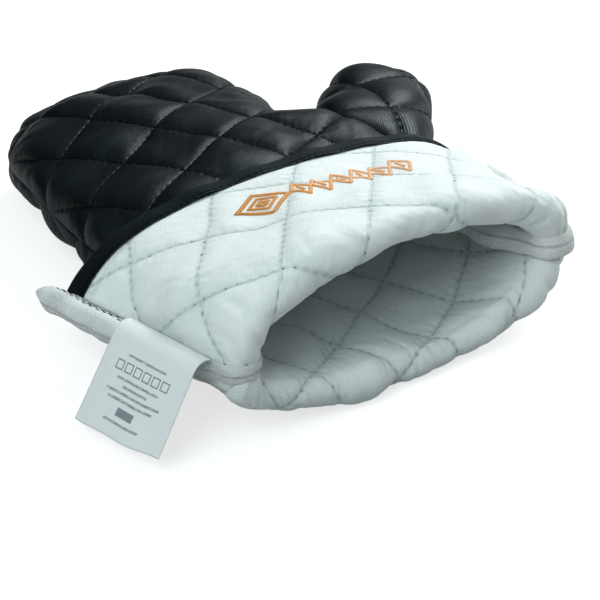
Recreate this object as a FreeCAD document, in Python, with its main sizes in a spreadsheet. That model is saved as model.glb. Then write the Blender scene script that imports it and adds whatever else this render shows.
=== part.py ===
"""Quilted heat resistant mitt, lying palm down with its cuff turned back.

Millimetres, +Z up.  The mitt is drawn with the front of its mouth near y = 0, the fingers
towards +Y and the thumb on +X.  The side seams lie in one plane, which falls towards the
fingertips.  Each panel is a quilted sandwich of outer cloth, wadding and lining: it runs
from the hem, along the turned-back cuff, round the fold at the mouth and up the hand.
At the end everything is moved so that the origin is under the middle of its box.
"""
import FreeCAD, Part
import Sketcher
import math
import os

V = FreeCAD.Vector
BACK, PALM = 1, -1
LEFT, RIGHT = -1, 1

# ---------------------------------------------------------------- driving dimensions
SIZES = {
    "cloth": (0.8, "outer cloth and lining, each"),
    "wadding": (3.4, "wadding between them"),
    "fold_radius": (6.0, "radius of the mouth fold at mid thickness"),
    "cuff_hem": (97.0, "y of the hem of the turned-back cuff"),
    "seam_level": (37.0, "height of the side seams at y = 0"),
    "seam_fall": (0.066, "fall of the seam plane per mm of y"),
    "oval_power": (2.3, "power of the oval cross sections"),
    "flare_left": (34.0, "cuff hem outside the hand, label side"),
    "flare_right": (14.0, "cuff hem outside the hand, thumb side"),
    "cuff_rise": (28.8, "top of the cuff hem above the seams"),
    "bedding": (0.8, "flattening of the underside where it rests"),
    "dome_start": (200.0, "y where the rounded finger end starts"),
    "finger_tip": (262.0, "y of the finger end at mid thickness"),
    "dome_power": (2.3, "power of the rounded finger end"),
    "hem_squeeze": (0.65, "share of the thickness left under the hem binding"),
    "binding_width": (9.0, "hem binding, on each face"),
    "binding_cloth": (0.7, "hem binding cloth"),
    "binding_play": (0.1, "between the hem binding and the panel inside it"),
    "tape_roll": (9.2, "thickness of the bound seam allowance"),
    "tape_play": (0.8, "between the bound seam and the panel beside it"),
    "tape_pressed": (0.45, "share of the bound seam's thickness left round the mouth fold"),
    "tape_swell": (24.0, "length over which it swells from there to the full roll"),
    "tape_tail": (9.0, "tape past the hem"),
    "tape_tip": (0.55, "share of the roll left at the folded end of the tape"),
    "thumb_gap": (0.4, "play at the thumb root"),
    "thumb_pivot": (3.6, "thumb axis beyond the crotch seam"),
    "thumb_fall": (0.07, "fall of the thumb seam per mm from its root"),
    "quilt_pinch": (0.9, "half thickness on a quilting line"),
    "quilt_puff_outer_cloth": (2.6, "height of the pillows on the outer cloth"),
    "quilt_puff_lining": (1.5, "height of the pillows on the lining"),
    "label_width": (47.0, "care label along the seam"),
    "label_drop": (35.0, "straight part of the label"),
    "label_cloth": (0.4, "label ribbon"),
    "label_clear": (0.5, "label above the seam roll"),
    "label_turn": (26.0, "slope of the hanging label off the vertical, degrees"),
    "label_lap": (118.0, "where the label leaves its seam round the roll, degrees"),
    "label_place": (36.0, "y of the middle of the label"),
}
# y, half width left and right, rise of the back over the seams, palm cloth above the table
STATIONS = {
    "mouth": (0.0, 73.3, 70.5, 30.5, 12.0),
    "wrist": (42.0, 70.0, 74.0, 27.0, 6.8),
    "hem": (97.0, 68.0, 78.0, 22.0, 6.8),
    "heel": (118.0, 67.5, 82.0, 24.0, 1.5),
    "root": (136.0, 67.0, 83.0, 26.0, 0.0),
    "crotch": (166.0, 65.0, 53.5, 25.5, 0.0),
    "knuckle": (200.0, 61.0, 59.0, 23.0, 0.0),
}
COLUMNS = ("y", "left", "right", "rise", "lift")
# thumb: x and y of the middle, direction off +Y in degrees, half width, rise, drop
THUMB = {
    "root": (67.0, 131.5, 71.8, 32.8, 18.5, 18.5),
    "base": (81.0, 143.0, 56.0, 29.5, 18.5, 18.5),
    "ball": (96.0, 158.0, 44.0, 27.0, 18.0, 17.5),
    "joint": (110.0, 176.0, 36.0, 25.0, 17.0, 16.5),
}
THUMB_COLUMNS = ("x", "y", "turn", "half", "rise", "drop")
THUMB_TIP = {"length": 27.0, "turn": 32.0}
# quilting of the back: two families of lines on the cuff and on the hand, each with its
# pitch, the direction across the lines in degrees off the cloth's width, and the line's
# number at the middle of the hem
QUILTING = {
    "cuff_steep": (33.09, 37.86, 1.733),
    "cuff_flat": (38.57, 126.43, -1.769),
    "hand_steep": (31.41, 26.60, 2.602),
    "hand_flat": (34.67, 119.12, -2.154),
}
QUILTING_COLUMNS = ("pitch", "turn", "start")

doc = FreeCAD.newDocument("mitt")
sheet = doc.addObject("Spreadsheet::Sheet", "sizes")
row = 0


def cell(alias, value, note):
    """One driving dimension: its note, its number and its alias in the next row."""
    global row
    row += 1
    sheet.set("A%d" % row, note)
    sheet.set("B%d" % row, str(value))
    sheet.setAlias("B%d" % row, alias)


for name, (value, note) in SIZES.items():
    cell(name, value, note)
for name, values in STATIONS.items():
    for column, value in zip(COLUMNS, values):
        cell("%s_%s" % (name, column), value, "hand at the %s, %s" % (name, column))
for name, values in THUMB.items():
    for column, value in zip(THUMB_COLUMNS, values):
        cell("thumb_%s_%s" % (name, column), value, "thumb at the %s, %s" % (name, column))
for name, values in QUILTING.items():
    for column, value in zip(QUILTING_COLUMNS, values):
        cell("quilt_%s_%s" % (name, column), value, "quilting of the %s lines, %s" % (name, column))
for column, value in THUMB_TIP.items():
    cell("thumb_tip_%s" % column, value, "thumb end, %s" % column)
doc.recompute()


def size(alias):
    """A driving dimension as a number."""
    return float(sheet.get(alias))


HALF = size("wadding") / 2 + size("cloth")
CORE = size("wadding") / 2
RADIUS = size("fold_radius")
HEM = size("cuff_hem")
# chords round half a section: odd under the palm and thumb, so that one lies flat there
CHORDS = {BACK: 16, PALM: 11}
THUMB_CHORDS = 9


def blend(table, y):
    """Values between the rows of a table of (y, ...), by a smooth step in each interval."""
    if y <= table[0][0]:
        return table[0][1:]
    for low, high in zip(table, table[1:]):
        if y <= high[0]:
            k = (y - low[0]) / (high[0] - low[0])
            k = k * k * (3 - 2 * k)
            return tuple(a + (b - a) * k for a, b in zip(low[1:], high[1:]))
    return table[-1][1:]


HAND = [tuple(size("%s_%s" % (name, column)) for column in COLUMNS) for name in STATIONS]


def seam_height(y):
    """Height of the side seams."""
    return size("seam_level") - size("seam_fall") * y


def oval(turn):
    """Unit half oval: x and height at an angle from the right seam (0) to the left (180)."""
    power = 2 / size("oval_power")
    c, s = math.cos(turn), math.sin(turn)
    return math.copysign(abs(c) ** power, c), abs(s) ** power


def even_turns(count, width, height):
    """Angles that divide a half oval of a half width and a height into equal lengths."""
    fine = [math.pi * (1 - i / 400) for i in range(401)]
    corners = [V(oval(turn)[0] * width, oval(turn)[1] * height, 0) for turn in fine]
    length = [0.0]
    for a, b in zip(corners, corners[1:]):
        length.append(length[-1] + (b - a).Length)
    turns = []
    for k in range(count + 1):
        wanted = length[-1] * k / count
        turns.append(min(zip(length, fine), key=lambda pair: abs(pair[0] - wanted))[1])
    return turns


MOUTH_HALF, MOUTH_RISE = size("mouth_right"), size("mouth_rise")
TURNS = {side: even_turns(count, MOUTH_HALF, MOUTH_RISE) for side, count in CHORDS.items()}
THUMB_TURNS = [math.pi * (1 - i / THUMB_CHORDS) for i in range(THUMB_CHORDS + 1)]


def section(side, y, left, right, rise, drop, floor):
    """Points of half an oval section across the mitt, never below its floor."""
    points = []
    for turn in TURNS[side]:
        across, up = oval(turn)
        x = across * (left if across < 0 else right)
        z = seam_height(y) + (up * rise if side == BACK else -up * drop)
        points.append(V(x, y, max(z, floor) if side == PALM else z))
    return points


def cuff_section(side, y, off):
    """Section of the turned-back cuff; off is towards the outer cloth, which faces inwards."""
    squeeze = size("hem_squeeze")
    width = size("binding_width")
    ramp = min(max((HEM - y - width) / width, 0), 1)
    off = off * (squeeze + (1 - squeeze) * ramp)
    part = max(y - RADIUS, 0) / (HEM - RADIUS)
    left, right, rise, lift = blend(HAND, y)
    left += 2 * RADIUS + (size("flare_left") - 2 * RADIUS) * part - off
    right += 2 * RADIUS + (size("flare_right") - 2 * RADIUS) * part - off
    fold_rise = blend(HAND, RADIUS)[2] + 2 * RADIUS
    rise = fold_rise + (size("cuff_rise") - fold_rise) * part - off
    drop = seam_height(y) - HALF + size("bedding") - off
    return section(side, y, left, right, rise, drop, HALF + off)


def fold_section(side, angle, off):
    """Section round the mouth fold: angle 0 at the cuff, 180 degrees at the hand."""
    out = RADIUS + (RADIUS - off) * math.cos(angle)
    y = RADIUS - (RADIUS - off) * math.sin(angle)
    left, right, rise, lift = blend(HAND, RADIUS)
    drop = seam_height(RADIUS) - 2 * RADIUS - HALF + size("bedding")
    floor = 2 * RADIUS + HALF - out
    points = section(side, RADIUS, left + out, right + out, rise + out, drop + out, floor)
    return [V(p.x, y, p.z) for p in points]


def hand_section(side, y, off):
    """Section of the hand; off is outwards."""
    left, right, rise, lift = blend(HAND, y)
    drop = seam_height(y) - lift - HALF + size("bedding")
    return section(side, y, left + off, right + off, rise + off, drop + off, lift + HALF - off)


def dome_section(side, angle, off):
    """Section of the rounded finger end, angle from 0 at its start to 90 degrees at its tip."""
    power = 2 / size("dome_power")
    start = size("dome_start")
    y = start + (size("finger_tip") - start + off) * math.sin(angle) ** power
    shrink = math.cos(angle) ** power
    left, right, rise, lift = blend(HAND, start)
    drop = seam_height(start) - lift - HALF + size("bedding")
    floor = HALF - off + (seam_height(y) - HALF) * (1 - shrink)
    return section(side, y, (left + off) * shrink, (right + off) * shrink,
                   (rise + off) * shrink, (drop + off) * shrink, floor)


# the path of a panel, from the hem to the fingertip: (section function, place along it).
# The back has more stops where its quilting shows.
BINDING = size("binding_width")
DOME_START = size("dome_start")
CUFF_STOPS = {BACK: (68, 57, 46, 35, 24, 15), PALM: (50, 26)}
HAND_STOPS = {BACK: (24, 42, 68, 86, 97, 108, 119, 131, 143, 155, 166, 177, 188),
              PALM: (24, 42, 68, 97, 108, 120, 136, 166, 183)}
DOME_STOPS = {BACK: (15, 28, 40, 51, 61, 70, 79, 87), PALM: (30, 50, 66, 78, 87)}
FOLD_STOPS = [(fold_section, math.radians(a)) for a in range(0, 181, 36)]
DOME_ANGLES = [math.radians(a) for a in DOME_STOPS[PALM]]


def panel_path(side):
    """All stops of a panel."""
    path = [(cuff_section, HEM - k * BINDING) for k in range(3)]
    path += [(cuff_section, y) for y in CUFF_STOPS[side]]
    path += FOLD_STOPS
    path += [(hand_section, y) for y in HAND_STOPS[side]]
    path += [(hand_section, DOME_START)]
    return path + [(dome_section, math.radians(a)) for a in DOME_STOPS[side]]


# ---------------------------------------------------------------- quilting of the back
CUFF_LENGTH = HEM - RADIUS
HAND_FROM = CUFF_LENGTH + math.pi * RADIUS
DOME_FROM = HAND_FROM + DOME_START - RADIUS
DOME_LENGTH = 92.0         # of cloth round the finger end


def cloth_length(place, at):
    """Length of cloth from the hem to a stop of the path."""
    if place is cuff_section:
        return HEM - at
    if place is fold_section:
        return CUFF_LENGTH + RADIUS * at
    if place is hand_section:
        return HAND_FROM + at - RADIUS
    return DOME_FROM + DOME_LENGTH * at / (math.pi / 2)


def smooth_step(value, low, high):
    """0 below low, 1 above high, and smooth between them."""
    k = min(max((value - low) / (high - low), 0), 1)
    return k * k * (3 - 2 * k)


def line_number(family, s, t):
    """Number of the quilting line at s across the cloth and t along it; the cuff's lines
    pass into the hand's where the cuff covers them."""
    numbers = []
    for name in ("quilt_cuff_" + family, "quilt_hand_" + family):
        turn = math.radians(size(name + "_turn"))
        across = (s * math.cos(turn) + t * math.sin(turn)) / size(name + "_pitch")
        numbers.append(across + size(name + "_start"))
    k = smooth_step(t, HAND_FROM, DOME_FROM - HEM)
    return numbers[0] * (1 - k) + numbers[1] * k


def pillow(s, t):
    """Height of the quilting: 0 on a line, and 1 in the middle between lines."""
    steep, flat = (abs(math.sin(math.pi * line_number(f, s, t))) for f in ("steep", "flat"))
    return (steep * flat) ** 0.6


def quilted_thickness(face, t, s):
    """Half thickness of the quilt where a face shows: the lining on the turned-back cuff
    and round its fold, the outer cloth on the hand beyond the cuff."""
    under_binding = smooth_step(t, BINDING, 2 * BINDING)
    cover_ends = HAND_FROM + HEM - RADIUS
    if face == "lining":
        shown = under_binding * (1 - smooth_step(t, CUFF_LENGTH, HAND_FROM))
    else:
        shown = smooth_step(t, cover_ends - 2 * BINDING, cover_ends)
    swell = size("quilt_pinch") + size("quilt_puff_" + face) * pillow(s, t)
    return HALF + shown * (swell - HALF)


def quilted_row(place, at, face, depth):
    """Section of the back at a depth under one of its quilted faces.  Its end points keep
    the flat thickness, so that they meet the palm."""
    sign = 1 if face == "outer_cloth" else -1
    middle = place(BACK, at, 0.0)
    raised = place(BACK, at, 1.0)
    t = cloth_length(place, at)
    half_width = sum((b - a).Length for a, b in zip(middle, middle[1:])) / 2
    points = []
    s = -half_width
    for i, (start, end) in enumerate(zip(middle, raised)):
        if i:
            s += (start - middle[i - 1]).Length
        edge = i in (0, len(middle) - 1)
        thickness = HALF if edge else quilted_thickness(face, t, s)
        points.append(start + (end - start) * (sign * (thickness - depth)))
    return points


def strip(first, second):
    """Flat faces between two rows of points with the same count, two to each cell."""
    faces = []
    for a, b, c, d in zip(first, first[1:], second, second[1:]):
        for corners in ((a, b, d), (a, d, c)):
            if (corners[1] - corners[0]).cross(corners[2] - corners[0]).Length > 1e-6:
                faces.append(Part.Face(Part.makePolygon(corners + corners[:1])))
    return faces


def closed_solid(faces):
    """The solid inside a closed set of faces, its flat neighbours merged."""
    shell = Part.makeShell(faces)
    shell.sewShape()
    solid = Part.makeSolid(shell)
    if solid.Volume < 0:
        solid.reverse()
    return solid.removeSplitter()


def ply_solid(outer, inner):
    """A sheet of cloth between two grids of points with the same rows and columns."""
    faces = []
    for grid in (outer, inner):
        for first, second in zip(grid, grid[1:]):
            faces += strip(first, second)
    for end in (0, -1):
        faces += strip(outer[end], inner[end])
        faces += strip([r[end] for r in outer], [r[end] for r in inner])
    return closed_solid(faces)


# each ply lies between two surfaces, given as a face and a depth under it
CLOTH = size("cloth")
PLIES = {
    "outer_cloth": (("outer_cloth", 0.0), ("outer_cloth", CLOTH)),
    "wadding": (("outer_cloth", CLOTH), ("lining", CLOTH)),
    "lining": (("lining", CLOTH), ("lining", 0.0)),
}


def offset(face, depth):
    """Distance from mid surface of a flat surface at a depth under a face."""
    return (HALF - depth) * (1 if face == "outer_cloth" else -1)


def panel_surface(side, face, depth):
    """One surface of a whole panel: quilted on the back, flat in the palm."""
    if side == BACK:
        return [quilted_row(place, at, face, depth) for place, at in panel_path(BACK)]
    return [place(side, at, offset(face, depth)) for place, at in panel_path(side)]

# ---------------------------------------------------------------- the thumb root
# the hand is cut open along the thumb's root seam, a plane through heel and crotch
root_x, root_y, root_turn, root_half = (size("thumb_root_" + c) for c in THUMB_COLUMNS[:4])


def heading(turn):
    """Unit vector in the table plane, at an angle in degrees from +Y towards +X."""
    return V(math.sin(math.radians(turn)), math.cos(math.radians(turn)), 0)


root_middle = V(root_x, root_y, 0)
root_out = heading(root_turn)
root_along = heading(root_turn - 90)
root_reach = root_half + HALF
CUT_DEPTH = 40.0
CUT_HEIGHT = 120.0
corner = root_middle - root_along * root_reach - V(0, 0, CUT_HEIGHT / 2)
root_cutter = Part.makeBox(CUT_DEPTH, 2 * root_reach, CUT_HEIGHT)
root_cutter.Placement = FreeCAD.Placement(
    corner, FreeCAD.Rotation(V(0, 0, 1), 90 - root_turn))

nodes = []


def feature(name, shape):
    """A sub-part whose shape is set directly."""
    item = doc.addObject("Part::Feature", name)
    item.Label = name
    item.Shape = shape
    nodes.append(item)
    return item


SIDE_NAMES = {"back": BACK, "palm": PALM}
for side_name, side in SIDE_NAMES.items():
    for ply_name, (upper, lower) in PLIES.items():
        ply = ply_solid(panel_surface(side, *upper), panel_surface(side, *lower))
        feature("%s_%s" % (side_name, ply_name), ply.cut(root_cutter))

# ---------------------------------------------------------------- the thumb
THUMB_ROWS = [tuple(size("thumb_%s_%s" % (n, c)) for c in THUMB_COLUMNS) for n in THUMB]


def thumb_seam(point):
    """Height of the thumb's seam, which falls away from the root."""
    reach = (V(point.x, point.y, 0) - root_middle).Length
    return seam_height(root_y) - size("thumb_fall") * reach


def thumb_section(side, middle, turn, half, rise, drop):
    """Half an oval section of the thumb, in an upright plane across its direction."""
    wide = heading(turn + 90)
    level = thumb_seam(middle)
    points = []
    for turn_in in THUMB_TURNS:
        across, up = oval(turn_in)
        z = level + (up * rise if side == BACK else -up * drop)
        flat = middle + wide * (across * half)
        points.append(V(flat.x, flat.y, max(z, 0.0)))
    return points


def thumb_rows(side, off):
    """All sections of one surface of the thumb, from its root to its rounded end."""
    rows = []
    for x, y, turn, half, rise, drop in THUMB_ROWS:
        middle = V(x, y, 0)
        if not rows:
            middle = middle + root_out * size("thumb_gap")
        rows.append(thumb_section(side, middle, turn, half + off, rise + off, drop + off))
    power = 2 / size("dome_power")
    x, y, turn, half, rise, drop = THUMB_ROWS[-1]
    for angle in DOME_ANGLES:
        shrink = math.cos(angle) ** power
        reach = (size("thumb_tip_length") + off) * math.sin(angle) ** power
        bend = turn + (size("thumb_tip_turn") - turn) * angle / (math.pi / 2)
        middle = V(x, y, 0) + heading(bend) * reach
        rows.append(thumb_section(side, middle, bend, (half + off) * shrink,
                                  (rise + off) * shrink, (drop + off) * shrink))
    return rows


for side_name, side in SIDE_NAMES.items():
    for ply_name, (upper, lower) in PLIES.items():
        solid = ply_solid(thumb_rows(side, offset(*upper)), thumb_rows(side, offset(*lower)))
        feature("thumb_%s_%s" % (side_name, ply_name), solid)

# ---------------------------------------------------------------- hem bindings
# a folded strip round the hem: up one face, over the raw edge and down the other


def binding_solid(side):
    """The hem binding of one panel, a U-shaped section carried round the half oval."""
    squeeze = size("hem_squeeze")
    full = HALF * squeeze + size("binding_play")
    skin = size("binding_cloth")
    edge = HEM + size("binding_play")
    end = HEM - BINDING
    profile = ((end, -full - skin), (edge + skin, -full - skin), (edge + skin, full + skin),
               (end, full + skin), (end, full), (edge, full), (edge, -full), (end, -full))
    rings = []
    for y, off in profile:
        ring = cuff_section(side, min(y, HEM), off / squeeze)
        past = V(0, y - ring[0].y, seam_height(y) - seam_height(ring[0].y))
        rings.append([point + past for point in ring])
    rings.append(rings[0])
    faces = []
    for first, second in zip(rings, rings[1:]):
        faces += strip(first, second)
    for end_column in (0, -1):
        corners = [ring[end_column] for ring in rings]
        faces.append(Part.Face(Part.makePolygon(corners)))
    return closed_solid(faces)


feature("back_hem_binding", binding_solid(BACK))
feature("palm_hem_binding", binding_solid(PALM))

# ---------------------------------------------------------------- seam tapes
# the panels' seam allowances, pressed together on the lining side and bound in twill tape
ROLL = size("tape_roll") / 2
ROLL_SIDES = 8


def seam_point(side_sign, place, at, share=1.0):
    """Middle of the bound seam, beside one point of a panel's edge."""
    column = 0 if side_sign == LEFT else -1
    lining = place(BACK, at, -HALF)[column]
    beyond = place(BACK, at, -HALF - ROLL)[column]
    return lining + (beyond - lining).normalize() * (ROLL * share + size("tape_play"))


def pressed(place, at):
    """Share of its thickness that the bound seam keeps at a stop: least round the fold."""
    if place is dome_section:
        return 1.0
    away = 0.0 if place is fold_section else at - RADIUS
    least = size("tape_pressed")
    return least + (1 - least) * smooth_step(away, 0.0, size("tape_swell"))


def seam_path(side_sign, stops):
    """Middles of the bound seam and its shares of thickness at stops along a panel."""
    shares = [pressed(*stop) for stop in stops]
    middles = [seam_point(side_sign, *stop, share) for stop, share in zip(stops, shares)]
    return list(zip(middles, shares))


def roll_solid(path, first_share=1.0):
    """A plump roll along a path of middles and shares; its first section may be drawn in."""
    middles = [middle for middle, share in path]
    rings = []
    for i, (point, share) in enumerate(path):
        before = middles[max(i - 1, 0)]
        after = middles[min(i + 1, len(middles) - 1)]
        along = (after - before).normalize()
        across = along.cross(V(0, 0, 1)).normalize()
        up = across.cross(along)
        radius = ROLL * (first_share if i == 0 else 1.0)
        ring = []
        for k in range(ROLL_SIDES):
            angle = 2 * math.pi * (k + 0.5) / ROLL_SIDES
            ring.append(point + across * (radius * share * math.cos(angle))
                        + up * (radius * math.sin(angle)))
        rings.append(ring + ring[:1])
    faces = []
    for first, second in zip(rings, rings[1:]):
        faces += strip(first, second)
    for ring in (rings[0], rings[-1]):
        faces.append(Part.Face(Part.makePolygon(ring)))
    return closed_solid(faces)


def tail_point(side_sign):
    """End of the tape, past the hem."""
    hem = seam_point(side_sign, cuff_section, HEM)
    before = seam_point(side_sign, cuff_section, HEM - 2 * BINDING)
    return hem + (hem - before).normalize() * size("tape_tail")


CUFF_PATH = [(cuff_section, y) for y in (HEM, HEM - 2 * BINDING, 50, 26, 15)]
ROUND_FINGERS = [(dome_section, angle) for angle in DOME_ANGLES[:-1]]
LEFT_HAND = [(hand_section, y) for y in (15, 26, 42, 68, 97, 136, 166, 200)]
WRIST = [(hand_section, y) for y in (15, 26, 42, 68, 88)]
PAST_CROTCH = [(hand_section, y) for y in (200, 183)]
left_path = [(tail_point(LEFT), 1.0)]
left_path += seam_path(LEFT, CUFF_PATH + FOLD_STOPS + LEFT_HAND + ROUND_FINGERS)
left_path += seam_path(RIGHT, ROUND_FINGERS[::-1] + PAST_CROTCH)
feature("side_seam_tape", roll_solid(left_path, size("tape_tip")))

right_path = [(tail_point(RIGHT), 1.0)]
right_path += seam_path(RIGHT, CUFF_PATH + FOLD_STOPS + WRIST)
feature("wrist_seam_tape", roll_solid(right_path, size("tape_tip")))

thumb_inner = thumb_rows(BACK, -HALF - ROLL)
thumb_path = [(row_points[-1], 1.0) for row_points in thumb_inner[1:-1]]
thumb_path += [(row_points[0], 1.0) for row_points in reversed(thumb_inner[1:-1])]
feature("thumb_seam_tape", roll_solid(thumb_path))

# ---------------------------------------------------------------- care label
# a woven ribbon sewn into the left seam: it laps over the roll and hangs outside it
label = doc.addObject("PartDesign::Body", "care_label")
label.Label = "care_label"
ribbon = label.newObject("Sketcher::SketchObject", "ribbon_profile")
plane = [o for o in label.Origin.OriginFeatures if o.Role == "XY_Plane"][0]
ribbon.AttachmentSupport = [(plane, "")]
ribbon.MapMode = "FlatFace"
inside = ROLL + size("label_clear")
outside = inside + size("label_cloth")
start = math.radians(size("label_turn"))
stop = math.radians(size("label_lap"))
origin = V(0, 0, 0)
ribbon.addGeometry(Part.ArcOfCircle(Part.Circle(origin, V(0, 0, 1), inside), start, stop))
ribbon.addGeometry(Part.ArcOfCircle(Part.Circle(origin, V(0, 0, 1), outside), start, stop))


def polar(radius, angle):
    """Point of the profile at a radius and an angle."""
    return V(radius * math.cos(angle), radius * math.sin(angle), 0)


fall = V(math.sin(start), -math.cos(start), 0) * size("label_drop")
ribbon.addGeometry(Part.LineSegment(polar(inside, start), polar(inside, start) + fall))
ribbon.addGeometry(Part.LineSegment(polar(outside, start), polar(outside, start) + fall))
ribbon.addGeometry(Part.LineSegment(polar(inside, start) + fall, polar(outside, start) + fall))
ribbon.addGeometry(Part.LineSegment(polar(inside, stop), polar(outside, stop)))
ORIGIN = (-1, 1)
INNER_ARC, OUTER_ARC, INNER_LINE, OUTER_LINE, BOTTOM, SEWN = range(6)
for arc in (INNER_ARC, OUTER_ARC):
    ribbon.addConstraint(Sketcher.Constraint("Coincident", arc, 3, *ORIGIN))
ribbon.addConstraint(Sketcher.Constraint("Coincident", INNER_ARC, 1, INNER_LINE, 1))
ribbon.addConstraint(Sketcher.Constraint("Coincident", OUTER_ARC, 1, OUTER_LINE, 1))
ribbon.addConstraint(Sketcher.Constraint("Coincident", INNER_LINE, 2, BOTTOM, 1))
ribbon.addConstraint(Sketcher.Constraint("Coincident", OUTER_LINE, 2, BOTTOM, 2))
ribbon.addConstraint(Sketcher.Constraint("Coincident", INNER_ARC, 2, SEWN, 1))
ribbon.addConstraint(Sketcher.Constraint("Coincident", OUTER_ARC, 2, SEWN, 2))
inner_radius = ribbon.addConstraint(Sketcher.Constraint("Radius", INNER_ARC, inside))
drop_length = ribbon.addConstraint(Sketcher.Constraint(
    "Distance", INNER_LINE, 1, INNER_LINE, 2, size("label_drop")))
ribbon.setExpression("Constraints[%d]" % inner_radius,
                     "sizes.tape_roll / 2 + sizes.label_clear")
ribbon.setExpression("Constraints[%d]" % drop_length, "sizes.label_drop")
ribbon_pad = label.newObject("PartDesign::Pad", "ribbon_width")
ribbon_pad.Profile = ribbon
ribbon_pad.Midplane = True
ribbon_pad.setExpression("Length", "sizes.label_width")
doc.recompute()

half_width = size("label_width") / 2
near = seam_point(LEFT, cuff_section, size("label_place") - half_width)
far = seam_point(LEFT, cuff_section, size("label_place") + half_width)
along_seam = (far - near).normalize()
outward = V(0, 0, 1).cross(along_seam).normalize()
upward = along_seam.cross(outward)
label_middle = (near + far) * 0.5
label_turn = FreeCAD.Rotation(outward, upward, outward.cross(upward), "XYZ")
label.Placement = FreeCAD.Placement(label_middle, label_turn)
nodes.append(label)
doc.recompute()

# ---------------------------------------------------------------- origin under the middle
box = FreeCAD.BoundBox()
for item in nodes:
    box.add(item.Shape.optimalBoundingBox())
shift = V(-box.Center.x, -box.Center.y, -box.ZMin)
for item in nodes:
    item.Placement = FreeCAD.Placement(shift, FreeCAD.Rotation()).multiply(item.Placement)
doc.recompute()

pivot = root_middle + root_along * (root_reach + size("thumb_pivot") - HALF)
sewn = label_middle + outward * (outside * math.cos(stop)) + upward * (outside * math.sin(stop))
print("shift", [round(v, 3) for v in shift])
print("box", [round(v, 2) for v in (box.XLength, box.YLength, box.ZLength)])
print("thumb pivot", [round(v, 3) for v in pivot + shift])
print("label hinge", [round(v, 3) for v in sewn + shift], "along",
      [round(v, 4) for v in along_seam])

# ---------------------------------------------------------------- checks and files
os.makedirs("parts", exist_ok=True)
for item in doc.Objects:
    if "Invalid" in item.State or "Error" in item.State:
        raise RuntimeError("%s failed: %s" % (item.Label, item.State))
for item in nodes:
    if item.Shape.isNull() or not item.Shape.isValid():
        raise RuntimeError("%s has no valid shape" % item.Label)
    if not item.Shape.Solids or item.Shape.Volume <= 0:
        raise RuntimeError("%s is not a solid" % item.Label)
    item.Shape.exportStep("parts/%s.step" % item.Label)
    print("%-26s %9.0f mm3 %4d faces" % (item.Label, item.Shape.Volume, len(item.Shape.Faces)))
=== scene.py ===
"""A quilted heat resistant mitt, palm down, its cuff turned back over the hand."""
import math

import bmesh
import bpy
import numpy as np
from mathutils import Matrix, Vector


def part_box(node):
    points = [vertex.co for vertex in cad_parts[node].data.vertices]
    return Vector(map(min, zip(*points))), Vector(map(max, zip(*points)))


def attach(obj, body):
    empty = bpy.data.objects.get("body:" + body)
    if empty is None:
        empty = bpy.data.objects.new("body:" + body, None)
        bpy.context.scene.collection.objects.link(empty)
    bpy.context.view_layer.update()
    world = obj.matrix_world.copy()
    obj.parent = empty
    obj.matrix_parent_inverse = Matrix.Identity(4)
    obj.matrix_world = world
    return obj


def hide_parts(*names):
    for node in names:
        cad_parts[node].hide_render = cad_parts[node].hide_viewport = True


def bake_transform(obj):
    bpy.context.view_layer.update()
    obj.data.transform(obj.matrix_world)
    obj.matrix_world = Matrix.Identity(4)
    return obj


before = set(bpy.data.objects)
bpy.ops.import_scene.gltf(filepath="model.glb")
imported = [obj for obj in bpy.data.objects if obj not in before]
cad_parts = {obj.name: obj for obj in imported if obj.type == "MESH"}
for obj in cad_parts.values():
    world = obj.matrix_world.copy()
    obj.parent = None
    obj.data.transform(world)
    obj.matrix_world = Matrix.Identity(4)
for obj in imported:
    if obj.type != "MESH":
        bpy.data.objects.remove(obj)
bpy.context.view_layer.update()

# ============================================================ the shape of the mitt
# Two panels of quilted cloth, back and palm, are sewn together along both sides and
# round the fingers.  Each runs from its hem along the turned-back cuff, round the fold
# at the mouth and up the hand.  Lengths are in millimetres, from the front of the mouth.
BACK, PALM = 1, -1
FOLD_RADIUS = 6.0          # of the mouth fold, at mid thickness
HEM_Y = 97.0               # the turned-back cuff's hem
HALF = 2.5                 # half the thickness of the quilt where it is flat
BEDDING = 0.8              # how much the underside flattens where it rests
OVAL_POWER = 2.3           # of the cross sections and of the finger end
SEAM_LEVEL, SEAM_FALL = 37.0, 0.066    # height of the side seams at the mouth, their fall
FLARE_LEFT, FLARE_RIGHT = 34.0, 14.0   # hem of the cuff, outside the hand
HEM_RISE = 28.8            # top of the hem above the seams
HEM_SQUEEZE = 0.65         # thickness left under the hem binding
BINDING_WIDTH = 9.0
BINDING_OUT = 0.8          # of the hem binding's face beyond the squeezed hem
DRAWN_IN, DRAWN_UP = 3.4, 6.5          # how the seam draws the mouth's right end
DRAWN_ALONG = 30.0         # and how far along the cloth this reaches
LENS = 0.06                # how much flatter than an oval the hem's left end is
FULLER = 9.0               # the hand bulges at its left beyond the cuff
DOME_START, FINGER_TIP = 200.0, 262.0
# y, half width left and right, rise over the seams, palm cloth above the table
STATIONS = np.array([
    (0.0, 73.3, 70.5, 30.5, 12.0),
    (42.0, 70.0, 74.0, 27.0, 6.8),
    (97.0, 68.0, 78.0, 22.0, 6.8),
    (118.0, 67.5, 82.0, 24.0, 1.5),
    (136.0, 67.0, 83.0, 26.0, 0.0),
    (166.0, 65.0, 53.5, 25.5, 0.0),
    (200.0, 61.0, 59.0, 23.0, 0.0)])
CUFF_LENGTH = HEM_Y - FOLD_RADIUS
FOLD_LENGTH = math.pi * FOLD_RADIUS
HAND_FROM = CUFF_LENGTH + FOLD_LENGTH
DOME_FROM = HAND_FROM + DOME_START - FOLD_RADIUS
DOME_LENGTH = 92.0         # of cloth round the finger end
CLOTH_LENGTH = DOME_FROM + DOME_LENGTH
FULLER_FROM, FULLER_OVER = HAND_FROM + 45, 60.0        # where the bulge sets in

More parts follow.
